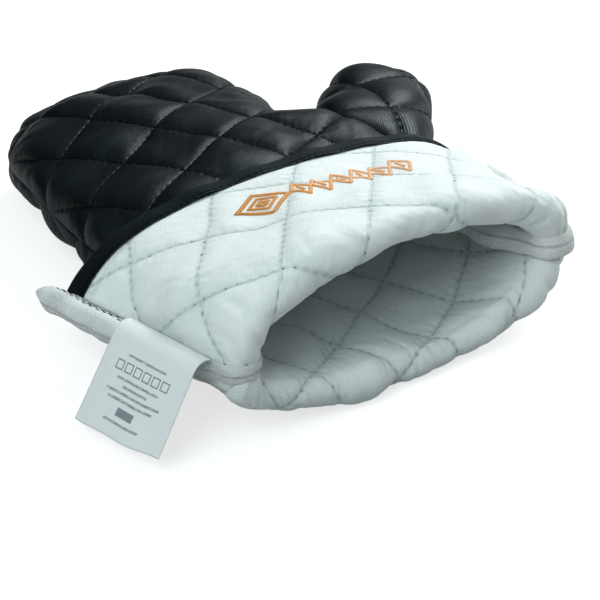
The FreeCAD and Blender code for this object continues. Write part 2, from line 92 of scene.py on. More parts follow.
# the shift from the front of the mouth to the frame's origin
hem_low, hem_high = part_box("back_hem_binding")
HEM_HALF_LEFT = STATIONS[2, 1] + FLARE_LEFT + HALF * HEM_SQUEEZE + BINDING_OUT
SHIFT = np.array([hem_low.x * 1000 + HEM_HALF_LEFT,
                  hem_high.y * 1000 - HEM_Y - BINDING_OUT, 0.0])


def eased(k):
    """Smooth step from 0 to 1: three times the square less twice the cube."""
    return k * k * (3 - 2 * k)


def unit(vectors):
    """Vectors scaled to length one."""
    return vectors / (np.linalg.norm(vectors, axis=-1, keepdims=True) + 1e-9)


def lengths_along(points):
    """Length of a path up to each of its points."""
    return np.concatenate([[0], np.cumsum(np.linalg.norm(np.diff(points, axis=0), axis=1))])


def smooth_through(x, stations, values):
    """Monotone cubic through the stations: each slope is the harmonic mean of its sides."""
    gap = np.diff(stations)
    slope = np.diff(values) / gap
    bend = np.zeros(len(stations))
    both = slope[:-1] * slope[1:]
    bend[1:-1] = np.where(both > 0, 2 * both / (slope[:-1] + slope[1:] + 1e-12), 0)
    bend[0], bend[-1] = slope[0], slope[-1]
    i = np.clip(np.searchsorted(stations, x) - 1, 0, len(stations) - 2)
    k = np.clip((x - stations[i]) / gap[i], 0, 1)
    return ((2 * k ** 3 - 3 * k ** 2 + 1) * values[i]
            + (k ** 3 - 2 * k ** 2 + k) * gap[i] * bend[i]
            + (3 * k ** 2 - 2 * k ** 3) * values[i + 1]
            + (k ** 3 - k ** 2) * gap[i] * bend[i + 1])


def hand_sizes(y):
    """Half widths, rise and lift of the hand at y."""
    return [smooth_through(y, STATIONS[:, 0], STATIONS[:, k]) for k in (1, 2, 3, 4)]


def seam_height(y):
    """The side seams lie in one plane, which falls towards the fingers."""
    return SEAM_LEVEL - SEAM_FALL * y


def oval(u):
    """Unit half oval from the left seam (u = -1) to the right (u = 1): x and height.
    The angle's cosine and sine are each raised to 2 over the oval's power."""
    turn = np.pi * (1 - u) / 2
    c, s = np.cos(turn), np.abs(np.sin(turn))
    return np.sign(c) * np.abs(c) ** (2 / OVAL_POWER), s ** (2 / OVAL_POWER)


def mitt_surface(side, u, t, off):
    """Points of a panel at u across and t along the cloth from its hem, off from its mid
    surface towards the outer cloth.  The cross section is an oval; along the cloth it
    runs back over the cuff, round a half circle, up the hand and round the finger end."""
    u, t, off = np.broadcast_arrays(u, t, off)
    cuff = t < CUFF_LENGTH
    fold = ~cuff & (t < HAND_FROM)
    dome = t > DOME_FROM
    turn = np.clip((t - CUFF_LENGTH) / FOLD_LENGTH, 0, 1) * np.pi
    reach = FOLD_RADIUS - off
    y = np.where(cuff, HEM_Y - t, FOLD_RADIUS + t - HAND_FROM)
    y = np.where(fold, FOLD_RADIUS - reach * np.sin(turn), y)
    end = np.clip((t - DOME_FROM) / DOME_LENGTH, 0, 1) * np.pi / 2
    round_y = DOME_START + (FINGER_TIP - DOME_START + off) * np.sin(end) ** (2 / OVAL_POWER)
    y = np.where(dome, round_y, y)
    shrink = np.where(dome, np.cos(end) ** (2 / OVAL_POWER), 1.0)
    at = np.where(fold, FOLD_RADIUS, np.minimum(y, DOME_START))
    left, right, rise, lift = hand_sizes(at)
    ramp = np.clip((t - BINDING_WIDTH) / BINDING_WIDTH, 0, 1)
    thin = off * (HEM_SQUEEZE + (1 - HEM_SQUEEZE) * ramp)
    part = np.clip(at - FOLD_RADIUS, 0, None) / CUFF_LENGTH
    twice = 2 * FOLD_RADIUS
    fold_rise = hand_sizes(np.array([FOLD_RADIUS]))[2][0] + twice
    out = FOLD_RADIUS + reach * np.cos(turn)
    bed = BEDDING - HALF
    left = np.where(cuff, left + twice + (FLARE_LEFT - twice) * part - thin,
                    np.where(fold, left + out, (left + off) * shrink))
    right = np.where(cuff, right + twice + (FLARE_RIGHT - twice) * part - thin,
                     np.where(fold, right + out, (right + off) * shrink))
    rise = np.where(cuff, fold_rise + (HEM_RISE - fold_rise) * part - thin,
                    np.where(fold, rise + out, (rise + off) * shrink))
    drop = np.where(cuff, seam_height(at) + bed - thin,
                    np.where(fold, seam_height(FOLD_RADIUS) - twice + bed + out,
                             (seam_height(at) - lift + bed + off) * shrink))
    floor = np.where(cuff, HALF + thin,
                     np.where(fold, twice + HALF - out,
                              lift + HALF - off + (seam_height(y) - HALF) * (1 - shrink)))
    near_fold = np.exp(-((t - CUFF_LENGTH - FOLD_LENGTH / 2) / DRAWN_ALONG) ** 2)
    right = right - DRAWN_IN * near_fold
    left = left + FULLER * shrink * np.clip((t - FULLER_FROM) / FULLER_OVER, 0, 1)
    across, up = oval(u)
    lens = 1 - LENS * 4 * up * (1 - up) * np.clip(1 - t / CUFF_LENGTH, 0, 1)
    x = across * np.where(across < 0, left * lens, right)
    z = seam_height(y) + (up * rise if side == BACK else -up * drop)
    z = z + DRAWN_UP * near_fold * np.clip(across, 0, 1) ** 4
    if side == PALM:
        z = np.maximum(z, np.maximum(floor, 0.0))
    return np.stack([x, y, z], -1)


def spread_evenly(side, count):
    """Values of u that divide the cloth's width evenly at the cuff."""
    fine = np.linspace(-1, 1, 2001)
    row = mitt_surface(side, fine, np.full(len(fine), CUFF_LENGTH * 0.6), -HALF)
    length = lengths_along(row)
    return np.interp(np.linspace(0, length[-1], count), length, fine)


def cloth_widths(points):
    """Distance across the cloth from its middle line, and to its nearer side edge."""
    step = np.linalg.norm(np.diff(points, axis=1), axis=-1)
    across = np.concatenate([np.zeros((len(points), 1)), np.cumsum(step, 1)], 1)
    total = across[:, -1:]
    middle = across[:, [points.shape[1] // 2]]
    return across - middle, np.minimum(across, total - across)


def ripples(s, t, length, count, seed):
    """A smooth random field of about unit height: waves of one length in all directions."""
    rng = np.random.RandomState(seed)
    field = np.zeros(np.broadcast(s, t).shape)
    for angle, phase, stretch in zip(rng.uniform(0, np.pi, count),
                                     rng.uniform(0, 2 * np.pi, count),
                                     rng.uniform(0.7, 1.4, count)):
        along = s * math.cos(angle) + t * math.sin(angle)
        field = field + np.cos(2 * np.pi * along / (length * stretch) + phase)
    return field / math.sqrt(count / 2)


def grid_faces(rows, columns):
    """Corner numbers of the quads of a grid of points."""
    i = np.arange(rows * columns).reshape(rows, columns)
    corners = np.stack([i[:-1, :-1], i[:-1, 1:], i[1:, 1:], i[1:, :-1]], -1)
    return corners.reshape(-1, 4)


def tube_quads(rings, around):
    """Corner numbers of the quads between neighbouring rings of a tube."""
    i, j = np.meshgrid(np.arange(rings - 1), np.arange(around), indexing="ij")
    after = (j + 1) % around
    return np.stack([i * around + j, i * around + after,
                     (i + 1) * around + after, (i + 1) * around + j], -1).reshape(-1, 4)


def quad_object(name, points, quads):
    """A smooth mesh object from points in millimetres and quads."""
    mesh = bpy.data.meshes.new(name)
    mesh.vertices.add(len(points))
    mesh.vertices.foreach_set("co", ((points + SHIFT) / 1000).astype(np.float32).ravel())
    mesh.loops.add(quads.size)
    mesh.loops.foreach_set("vertex_index", quads.ravel().astype(np.int32))
    mesh.polygons.add(len(quads))
    mesh.polygons.foreach_set("loop_start", np.arange(0, quads.size, 4, dtype=np.int32))
    mesh.update(calc_edges=True)
    mesh.polygons.foreach_set("use_smooth", np.ones(len(quads), bool))
    piece = bpy.data.objects.new(name, mesh)
    bpy.context.scene.collection.objects.link(piece)
    return piece


def make_mesh(name, points, faces, uv=None, values=None):
    """The same with its UV map and attributes.  Coinciding points are merged and all faces
    turned outwards."""
    piece = quad_object(name, points, faces)
    mesh = piece.data
    if uv is not None:
        layer = mesh.uv_layers.new(name="cloth")
        layer.data.foreach_set("uv", uv[faces.ravel()].astype(np.float32).ravel())
    for key, value in (values or {}).items():
        attribute = mesh.attributes.new(key, "FLOAT", "POINT")
        attribute.data.foreach_set("value", value.astype(np.float32).ravel())
    work = bmesh.new()
    work.from_mesh(mesh)
    bmesh.ops.remove_doubles(work, verts=work.verts, dist=2e-6)
    bmesh.ops.dissolve_degenerate(work, edges=work.edges, dist=1e-7)
    bmesh.ops.recalc_face_normals(work, faces=work.faces)
    work.to_mesh(mesh)
    work.free()
    mesh.validate()
    return piece


def cloth_sheet(name, outer, inner, uv=None, values=None, keep=None):
    """A closed sheet of cloth between two grids of points, its open edges walled.
    keep says which quads stay; the wall then follows their edge."""
    rows, columns = outer.shape[:2]
    quads = grid_faces(rows, columns)
    if keep is not None:
        quads = quads[keep.ravel()]
    count = rows * columns
    edges = np.concatenate([quads[:, [k, (k + 1) % 4]] for k in range(4)])
    key = np.sort(edges, 1)
    key = key[:, 0] * count + key[:, 1]
    first, uses = np.unique(key, return_index=True, return_counts=True)[1:]
    rim = edges[first[uses == 1]]
    wall = np.stack([rim[:, 1], rim[:, 0], rim[:, 0] + count, rim[:, 1] + count], -1)
    faces = np.concatenate([quads, quads[:, ::-1] + count, wall])
    points = np.concatenate([outer.reshape(-1, 3), inner.reshape(-1, 3)])
    if uv is not None:
        uv = np.concatenate([uv.reshape(-1, 2)] * 2)
    if values:
        values = {k: np.concatenate([v.ravel()] * 2) for k, v in values.items()}
    used = np.unique(faces)
    renumber = np.zeros(2 * count, int)
    renumber[used] = np.arange(len(used))
    return make_mesh(name, points[used], renumber[faces],
                     None if uv is None else uv[used],
                     None if not values else {k: v[used] for k, v in values.items()})


# ============================================================ the thumb's root
# The thumb is set in: the hand is cut open along a straight line from the heel to the
# crotch, and the thumb's two halves are sewn to that edge.
ROOT = np.array([67.0, 131.5])
ROOT_TURN = math.radians(71.8)
ROOT_HALF = 35.3           # half the line's length
ROOT_CLOSE = 0.06          # share of it over which the thumb's halves close at an end
root_out = np.array([math.sin(ROOT_TURN), math.cos(ROOT_TURN)])
root_along = np.array([-math.cos(ROOT_TURN), math.sin(ROOT_TURN)])


def past_root(points):
    """Distance of points beyond the root line, and their place along it."""
    flat = points[..., :2] - ROOT
    return flat @ root_out, flat @ root_along


def away_from_root(points):
    """Distance of points from the sewn root line, seen from above."""
    beyond, v = past_root(points)
    return np.hypot(beyond, np.maximum(np.abs(v) - ROOT_HALF, 0))


def cut_at_root(points, rows_in_hand, short=0.0):
    """Which points lie in the cut-away corner, and which quads stay.  The wadding is cut
    short of the line on all its sides."""
    beyond, v = past_root(points)
    cut = (beyond > -short) & (np.abs(v) < ROOT_HALF + short) & (points[..., 0] > 0)
    cut = cut & rows_in_hand
    gone = cut[:-1, :-1] & cut[:-1, 1:] & cut[1:, 1:] & cut[1:, :-1]
    return cut, ~gone


def snapped(points, cut, short=0.0):
    """The same points, with those in the cut-away corner moved square to the root line."""
    beyond = past_root(points)[0]
    moved = points.copy()
    moved[..., :2] -= np.where(cut, beyond + short, 0)[..., None] * root_out
    return moved


def root_height(side, across, off):
    """Height of the hand's own surface over the root line, so that the thumb meets it: the
    oval's height at x, where across runs from -1 at the crotch to 1 at the heel.  At both
    ends it closes on the side seam by a square root."""
    v = -across * ROOT_HALF
    x = ROOT[0] + v * root_along[0]
    y = ROOT[1] + v * root_along[1]
    right, rise, lift = hand_sizes(y)[1:]
    share = np.clip(1 - np.clip(x / (right + off), 0, 1) ** OVAL_POWER, 0, 1)
    tall = share ** (1 / OVAL_POWER)
    tall = tall * np.sqrt(np.clip((1 - np.abs(across)) / ROOT_CLOSE, 0, 1))
    drop = seam_height(y) - lift - HALF + BEDDING
    up = tall * (rise + off) if side == BACK else -tall * (drop + off)
    return seam_height(y) + up


# ============================================================ the quilting
# The plies are sewn through in two families of straight lines, about 33 mm apart, on the
# cloth's grain, which runs askew to the mitt.  The wadding swells into pillows between.
STITCH = 4.6               # from one needle hole to the next
STEEP = 2.2                # how far from a line the cloth rises steeply
PHASE = 0.37               # share of a stitch by which each line starts after the last
# the line numbers of the two families are a*s + b*t + c: s across the cloth, t along it
CUFF_LINES = ((0.02386, 0.01855, 1.73282), (-0.01540, 0.02086, -1.76922))
HAND_LINES = ((0.02847, 0.01426, 2.6015), (-0.01404, 0.0252, -2.1543))
INSIDE_LINES = ((0.01807, -0.02501, 3.5498), (-0.03294, -0.01384, 3.19654))
TURN_FROM, TURN_TO = 105.0, 190.0      # where the cuff's grain passes into the hand's


def near_lines(side):
    """Lines at the cuff of a panel; those at its hand follow from the same cloth."""
    return CUFF_LINES if side == BACK else INSIDE_LINES


def line_numbers(side, s, t):
    """Running line number of both families at each point of the cloth."""
    far = HAND_LINES if side == BACK else INSIDE_LINES
    k = eased(np.clip((t - TURN_FROM) / (TURN_TO - TURN_FROM), 0, 1))
    return [(a * s + b * t + c) * (1 - k) + (d * s + e * t + f) * k
            for (a, b, c), (d, e, f) in zip(near_lines(side), far)]


def pitches(side):
    """Distance between neighbouring lines of each family."""
    return [1 / math.hypot(*line[:2]) for line in near_lines(side)]


def pillow_rise(away, pitch, crown):
    """Height from 0 on a line to 1 midway: steep beside the stitches, then a parabola
    whose share of the height is the crown."""
    steep = 1 - np.exp(-away / STEEP)
    return (1 - crown) * steep + crown * (1 - (1 - 2 * away / pitch) ** 2)


def quilting(numbers, pitch, crown):
    """Pillow height from 0 on a line to 1 between lines: the product of both families."""
    pillow = np.ones(numbers[0].shape)
    for number, spacing in zip(numbers, pitch):
        away = np.abs(number - np.round(number)) * spacing
        pillow = pillow * pillow_rise(away, spacing, crown)
    return pillow


COLUMNS = 161
ROW_STEP = 1.4
along_cloth = np.linspace(0, CLOTH_LENGTH, int(CLOTH_LENGTH / ROW_STEP))[:, None]
PUFF = {"outer_cloth": 2.9, "lining": 1.9}     # pillow height on each face
CROWN = {"outer_cloth": 0.60, "lining": 0.42}
THINNEST = 0.9             # half thickness on a stitch line
LEAST = 0.76               # half thickness where a fold crosses it
CLOTH = 0.7                # thickness of either cloth
WADDING_PLAY = 0.15        # between the wadding and the cloth on it
WADDING_SHORT = 3.0        # by which it stops short of the thumb's root seam
AT_SEAM = 3.2              # how far a sewn seam pinches the quilt
UNDER_BINDING = 2.3        # most half thickness that the hem binding leaves
UNEVEN = 0.20              # how much fuller one pillow is than another
FOLD_BAND = 22.0           # breadth of the creased band round the mouth fold
GATHER = 26.0              # how far the side seams gather the cloth
STILL_AT_SEAM, STILL_AT_ROOT = 14.0, 8.0       # over which the sway sets in
CREASE = 1.5               # depth of the folds
# the folds: angle across the cloth, distance between them, seed
FOLDS = ((0.15, 13, 40), (1.1, 12, 50), (2.3, 17, 60))
SWAYS = ((1.25, 74, 5), (0.45, 27, 15))        # height, wavelength, seed


def creases(s, t, angle, length, seed):
    """Fine folds that run at an angle across the cloth: narrow ridges of a wave whose
    phase wanders, between 0 and 1, that come and go along their length."""
    c, d = math.cos(angle), math.sin(angle)
    across, along = s * c + t * d, t * c - s * d
    wander = 1.4 * ripples(s, t, length * 5, 6, seed)
    ridge = np.abs(np.sin(np.pi * across / length + wander))
    fade = np.clip(0.5 + 0.6 * ripples(across * 1.6, along * 0.6, length * 5, 6, seed + 1), 0, 1)
    return (1 - ridge) ** 2 * fade


def wadding_depth(depth):
    """Half thickness of the wadding under a face: less than the least of the face within
    two samples either way, so that a grid of every second sample stays under the cloth."""
    rows, columns = depth.shape
    spread = np.pad(depth, 2, mode="edge")
    least = np.min([spread[i:i + rows, k:k + columns] for i in range(5) for k in range(5)], 0)
    return np.maximum(least - CLOTH - WADDING_PLAY, 0.02)


def panel_face(side, face):
    """One face of a panel with its quilting: its outer and inner points, those of the
    wadding under it, and the cloth's own coordinates.  The face lies off the mid surface by
    the thickness on a stitch line plus the pillows, less the pull of the thread; the whole
    panel sways slowly to and fro.  It is thin at the seams and under the hem binding."""
    sign = 1 if face == "outer_cloth" else -1
    u = spread_evenly(side, COLUMNS)[None, :]
    t = np.broadcast_to(along_cloth, (len(along_cloth), COLUMNS))
    shows = np.clip((t - CUFF_LENGTH) / FOLD_LENGTH, 0, 1) if side == BACK else 0 * t
    s, edge = cloth_widths(mitt_surface(side, u, t, HALF * (2 * shows - 1)))
    numbers = line_numbers(side, s, t)
    pillow = quilting(numbers, pitches(side), CROWN[face])
    at_root = np.where(t > HAND_FROM, away_from_root(mitt_surface(side, u, t, 0.0)), 1e3)
    seamed = (1 - np.exp(-edge / AT_SEAM)) * (1 - np.exp(-at_root / AT_SEAM))
    hemmed = np.clip((t - BINDING_WIDTH) / 5, 0, 1)
    uneven = 1 + UNEVEN * ripples(s, t, 41, 7, 11 + side)
    swell = PUFF[face] * pillow * uneven * seamed * (0.2 + 0.8 * hemmed)
    at_fold = np.exp(-((t - CUFF_LENGTH - 4) / FOLD_BAND) ** 2)
    gather = np.exp(-edge / GATHER)
    shares = (at_fold * (0.5 + 1.1 * gather), gather * 0.8, 0.15 + 0.5 * gather)
    folds = sum(creases(s, t, angle, length, seed + side) * share
                for (angle, length, seed), share in zip(FOLDS, shares))
    depth = THINNEST + swell - CREASE * folds * hemmed * (0.25 + 0.75 * pillow)
    depth = np.maximum(depth, LEAST)
    depth = np.where(t < BINDING_WIDTH, np.minimum(depth, UNDER_BINDING), depth)
    sway = sum(height * ripples(s, t, length, 8, seed + side)
               for height, length, seed in SWAYS)
    sway = sway * (1 - np.exp(-edge / STILL_AT_SEAM)) * (1 - np.exp(-at_root / STILL_AT_ROOT))
    sway = sway * np.clip((t - 4) / 30, 0, 1)
    outer, inner, wadding = [mitt_surface(side, u, t, sign * off + sway)
                             for off in (depth, depth - CLOTH, wadding_depth(depth))]
    grain = np.stack([n * p for n, p in zip(numbers, pitches(side))], -1)
    values = {"pillow": pillow, "line_a": numbers[0], "line_b": numbers[1]}
    return outer, inner, wadding, s, grain, values


# ============================================================ cotton of the two faces
# Both faces are plain cotton with a fine rib along one grain: black outside, with a faint
# cool bloom where the pillows catch the light, and white inside.
def add_node(tree, kind, links=None, **settings):
    """A shader node.  Settings name its properties; links map its sockets to what feeds
    them: an output socket, or a constant."""
    made = tree.nodes.new(kind)
    for key, value in settings.items():
        setattr(made, key, value)
    for key, value in (links or {}).items():
        if isinstance(value, bpy.types.NodeSocket):
            tree.links.new(value, made.inputs[key])
        else:
            made.inputs[key].default_value = value
    return made


def maths(tree, operation, *values):
    """Output of a math node on sockets or numbers."""
    return add_node(tree, "ShaderNodeMath", dict(enumerate(values)),
                    operation=operation).outputs[0]


def add_up(tree, total, *terms):
    """A total with each of the terms, a socket and its share, added to it."""
    for value, share in terms:
        total = maths(tree, "MULTIPLY_ADD", value, share, total)
    return total


def largest(tree, *values):
    """The greatest of several sockets."""
    top = values[0]
    for value in values[1:]:
        top = maths(tree, "MAXIMUM", top, value)
    return top


def new_material(name, **constants):
    """A material with constants of its shader set: underscores stand for spaces."""
    material = bpy.data.materials.new(name)
    material.use_nodes = True
    shader = material.node_tree.nodes["Principled BSDF"]
    for key, value in constants.items():
        shader.inputs[key.replace("_", " ")].default_value = value
    return material, material.node_tree, shader


def ramp(tree, value, stops):
    """Colours at places along a value."""
    made = add_node(tree, "ShaderNodeValToRGB", {0: value})
    elements = made.color_ramp.elements
    while len(elements) < len(stops):
        elements.new(0.5)
    for element, (place, colour) in zip(elements, stops):
        element.position = place
        element.color = (*colour, 1)
    return made.outputs[0]


def paint(tree, shader, value, stops):
    """The shader's colour, from colours at places along a value."""
    tree.links.new(ramp(tree, value, stops), shader.inputs["Base Color"])


def emboss(tree, shader, height, strength, distance, **under):
    """Relief on the shader, over the normal of a coarser relief where one is given."""
    bump = add_node(tree, "ShaderNodeBump", {"Strength": strength, "Distance": distance,
                                             "Height": height, **under}).outputs[0]
    tree.links.new(bump, shader.inputs["Normal"])
    return bump


def in_space(tree):
    """Place on the object, in metres."""
    return add_node(tree, "ShaderNodeTexCoord").outputs["Object"]


def cloth_axes(tree):
    """The two cloth coordinates, in metres, as sockets."""
    place = add_node(tree, "ShaderNodeUVMap", uv_map="cloth")
    split = add_node(tree, "ShaderNodeSeparateXYZ", {0: place.outputs[0]})
    return place.outputs[0], split.outputs[0], split.outputs[1]


def wave(tree, value, length):
    """Sine of a coordinate, of a wavelength in metres."""
    return maths(tree, "SINE", maths(tree, "MULTIPLY", value, 2 * math.pi / length))


def noise(tree, vector, scale, detail):
    """Fractal noise between 0 and 1."""
    return add_node(tree, "ShaderNodeTexNoise",
                    {"Vector": vector, "Scale": scale, "Detail": detail}).outputs["Fac"]


def stretched(tree, vector, x, y):
    """The cloth coordinates multiplied, so that noise on them is longer one way."""
    return add_node(tree, "ShaderNodeMapping", {0: vector, "Scale": (x, y, 1)}).outputs[0]


def stitch_marks(tree, attribute, along):
    """Marks of one family of quilting lines: the groove on the line, the needle holes in
    it, a stitch apart, and the small puckers that the thread pulls up on both sides."""
    number = add_node(tree, "ShaderNodeAttribute", attribute_name=attribute).outputs["Fac"]
    line = maths(tree, "ROUND", number)
    off_line = maths(tree, "ABSOLUTE", maths(tree, "SUBTRACT", number, line))
    away = maths(tree, "MULTIPLY", off_line, LINE_SPACING)
    phase = add_up(tree, maths(tree, "MULTIPLY", line, PHASE), (along, 1000 / STITCH))
    beat = maths(tree, "COSINE", maths(tree, "MULTIPLY", phase, 2 * math.pi))

    def hill(middle, width):
        off = maths(tree, "DIVIDE", maths(tree, "SUBTRACT", away, middle), width)
        square = maths(tree, "MULTIPLY", off, off)
        return maths(tree, "EXPONENT", maths(tree, "MULTIPLY", square, -1))

    groove = hill(0, 0.75)
    hole = maths(tree, "MULTIPLY", groove, add_up(tree, 0.5, (beat, 0.5)))
    return groove, hole, maths(tree, "MULTIPLY", hill(2.4, 1.9), beat)


def cotton(name, stops, rib, depth, gather, **constants):
    """Ribbed cotton: ribs across the first cloth coordinate, picks of the weave along the
    second, slubs that follow the rib, and a colour painted darker as shade in the stitched
    valleys between the pillows and at the needle holes.
    gather is how far the thread puckers it up, in millimetres."""
    material, tree, shader = new_material(name, **constants)
    place, across, along = cloth_axes(tree)
    ribs = wave(tree, across, rib)
    picks = wave(tree, along, rib * 0.62)
    slubs = noise(tree, stretched(tree, place, 0.9 / rib, 0.10 / rib), 1.0, 3.0)
    fuzz = noise(tree, place, 2600.0, 2.0)
    height = add_up(tree, ribs, (picks, 0.35), (slubs, 2.4), (fuzz, 1.2))
    uneven = noise(tree, place, 210.0, 2.0)
    steep = stitch_marks(tree, "line_a", along)
    flat = stitch_marks(tree, "line_b", across)
    groove, hole = (largest(tree, a, b) for a, b in zip(steep[:2], flat[:2]))
    puckers = maths(tree, "MULTIPLY", uneven, add_up(tree, steep[2], (flat[2], 0.45)))
    soft = noise(tree, stretched(tree, place, 60, 110), 1.0, 2.5)
    soft = maths(tree, "ADD", soft, noise(tree, place, 33.0, 2.0))
    relief = add_up(tree, maths(tree, "MULTIPLY", puckers, 1.3 * gather),
                    (groove, -0.20), (hole, -0.28), (soft, 9.0 * gather))
    coarse = emboss(tree, shader, relief, 1.0, 0.001)
    emboss(tree, shader, height, 0.6, depth, Normal=coarse)
    pillow = add_node(tree, "ShaderNodeAttribute", attribute_name="pillow").outputs["Fac"]
    patches = noise(tree, in_space(tree), 42.0, 4.0)
    # painted shade: the colour is darker in the stitched valleys between pillows and in the
    # needle holes
    painted_hole_shade = maths(tree, "MULTIPLY", hole, maths(tree, "SUBTRACT", uneven, 0.25))
    shaded_tone = add_up(tree, 0.10, (pillow, 0.52), (patches, 0.28), (ribs, 0.03), (slubs, 0.12),
                  (painted_hole_shade, -0.75))
    paint(tree, shader, shaded_tone, stops)
    return material


LINE_SPACING = 33.0        # mean distance between quilting lines
RIB = 0.0011               # from rib to rib, in metres
COOL, BLOOM = (0.6, 0.88, 1.0, 1), (0.5, 0.8, 0.9, 1)
# the dark low stops of both ramps are painted shade for the stitched valleys and needle holes
black_cotton = cotton(
    "black_ribbed_cotton",
    ((0.0, (0.0001, 0.0001, 0.0002)), (0.20, (0.0004, 0.0006, 0.0008)),
     (0.55, (0.0012, 0.0019, 0.0023)), (0.95, (0.0048, 0.0076, 0.0088))), RIB, 0.00005, 0.06,
    Roughness=0.42, Sheen_Weight=0.03, Sheen_Roughness=0.28,
    Sheen_Tint=BLOOM, Specular_IOR_Level=0.19, Specular_Tint=COOL)
white_cotton = cotton(
    "white_ribbed_cotton",
    ((0.0, (0.20, 0.26, 0.26)), (0.16, (0.54, 0.62, 0.62)), (0.45, (0.74, 0.80, 0.795)),
     (0.95, (0.82, 0.865, 0.855))), RIB, 0.00006, 0.22,
    Roughness=0.9, Sheen_Weight=0.05, Specular_IOR_Level=0.15)

# ============================================================ back and palm panels
# Each panel has its outer cloth, a layer of wadding and its lining, as separate plies.
# On the turned-back cuff the lining is outside.
SIDES = {"back": BACK, "palm": PALM}
PLIES = (("outer_cloth", black_cotton), ("lining", white_cotton))
faces_of_mitt = {}


def hold_in_place(piece, node, slot, material):
    """A visual piece that shows instead of one CAD node."""
    piece.data.materials.append(material)
    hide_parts(node)


wool, wool_tree, wool_shader = new_material("cotton_wadding", Roughness=1.0)
wool_tone = noise(wool_tree, in_space(wool_tree), 300.0, 5.0)
paint(wool_tree, wool_shader, wool_tone, ((0.3, (0.60, 0.58, 0.52)), (0.7, (0.82, 0.81, 0.76))))

for side_name, side in SIDES.items():
    under = {}
    for face, material in PLIES:
        outer, inner, under[face], across_cloth, grain, values = panel_face(side, face)
        in_hand = (along_cloth > HAND_FROM) & (along_cloth < DOME_FROM + 10)
        cut, keep = cut_at_root(outer, in_hand)
        faces_of_mitt[side_name, face] = (outer, across_cloth, cut)
        name = "%s_%s" % (side_name, face)
        piece = cloth_sheet(name + "_ply", snapped(outer, cut), snapped(inner, cut),
                            grain / 1000, values, keep)
        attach(piece, "mitt")
        hold_in_place(piece, name, face, material)
    coarse = (slice(None, None, 2), slice(None, None, 2))
    top, bottom = under["outer_cloth"][coarse], under["lining"][coarse]
    cut, keep = cut_at_root(top, in_hand[::2], WADDING_SHORT)
    piece = cloth_sheet(side_name + "_wadding_ply", snapped(top, cut, WADDING_SHORT),
                        snapped(bottom, cut, WADDING_SHORT), keep=keep)
    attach(piece, "mitt")
    hold_in_place(piece, side_name + "_wadding", "wadding", wool)

# ============================================================ the thumb
# Two halves, back and palm, each of outer cloth, wadding and lining, sewn along both edges
# and round the end.  They start in the hand's own surface at the root and swell into ovals.
# x and y of the middle, direction off +Y towards +X, half width, rise and drop
THUMB_STATIONS = np.array([
    (67.0, 131.5, 71.8, 32.8, 18.5, 18.5),
    (81.0, 143.0, 56.0, 29.5, 18.5, 18.5),
    (96.0, 158.0, 44.0, 27.0, 18.0, 17.5),
    (110.0, 176.0, 36.0, 25.0, 17.0, 16.5)])
THUMB_TIP, THUMB_TIP_TURN = 27.0, 32.0         # reach beyond them, and its direction
THUMB_FALL = 0.07          # how much the thumb's seams fall along it
THUMB_AT = lengths_along(THUMB_STATIONS[:, :2])
THUMB_DOME = 40.0          # of cloth round the end
ROOT_MERGE = 20.0          # over which the root's shape passes into the oval


def thumb_surface(side, u, w, off):
    """Points of a half of the thumb at u across it and w along it, off from mid surface."""
    u, w, off = np.broadcast_arrays(u, w, off)
    last = THUMB_AT[-1]
    at = np.minimum(w, last)
    x, y, turn, half, rise, drop = [
        smooth_through(at, THUMB_AT, THUMB_STATIONS[:, k]) for k in range(6)]
    end = np.clip((w - last) / THUMB_DOME, 0, 1) * np.pi / 2
    turn = np.radians(turn + (THUMB_TIP_TURN - THUMB_STATIONS[-1, 2]) * end / (np.pi / 2))
    shrink = np.cos(end) ** (2 / OVAL_POWER)
    reach = (THUMB_TIP + off) * np.sin(end) ** (2 / OVAL_POWER)
    x, y = x + reach * np.sin(turn), y + reach * np.cos(turn)
    across, up = oval(u)
    span = across * (half + off) * shrink
    fx, fy = x + span * np.cos(turn), y - span * np.sin(turn)
    level = seam_height(ROOT[1]) - THUMB_FALL * np.hypot(x - ROOT[0], y - ROOT[1])
    z = level + (up * (rise + off) if side == BACK else -up * (drop + off)) * shrink
    join = eased(np.clip(at / ROOT_MERGE, 0, 1))
    z = z * join + root_height(side, across, off) * (1 - join)
    return np.stack([fx, fy, np.maximum(z, 0)], -1)


even = np.linspace(-1, 1, 81)[None, :]
thumb_u = 0.35 * np.sin(even * np.pi / 2) + 0.65 * even
thumb_w = np.linspace(0, THUMB_AT[-1] + THUMB_DOME, 76)[:, None]
THUMB_LINES = ((0.0251, 0.0188, 0.35), (-0.0188, 0.0251, 0.62))
THUMB_PITCH = [1 / math.hypot(*line[:2]) for line in THUMB_LINES]
THUMB_PINCH = 3.0          # how far its seams pinch the quilt
faces_of_thumb = {}


def bend_at_root(piece):
    """Bakes the piece's placement into its points; it is not bent at the root."""
    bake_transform(piece)


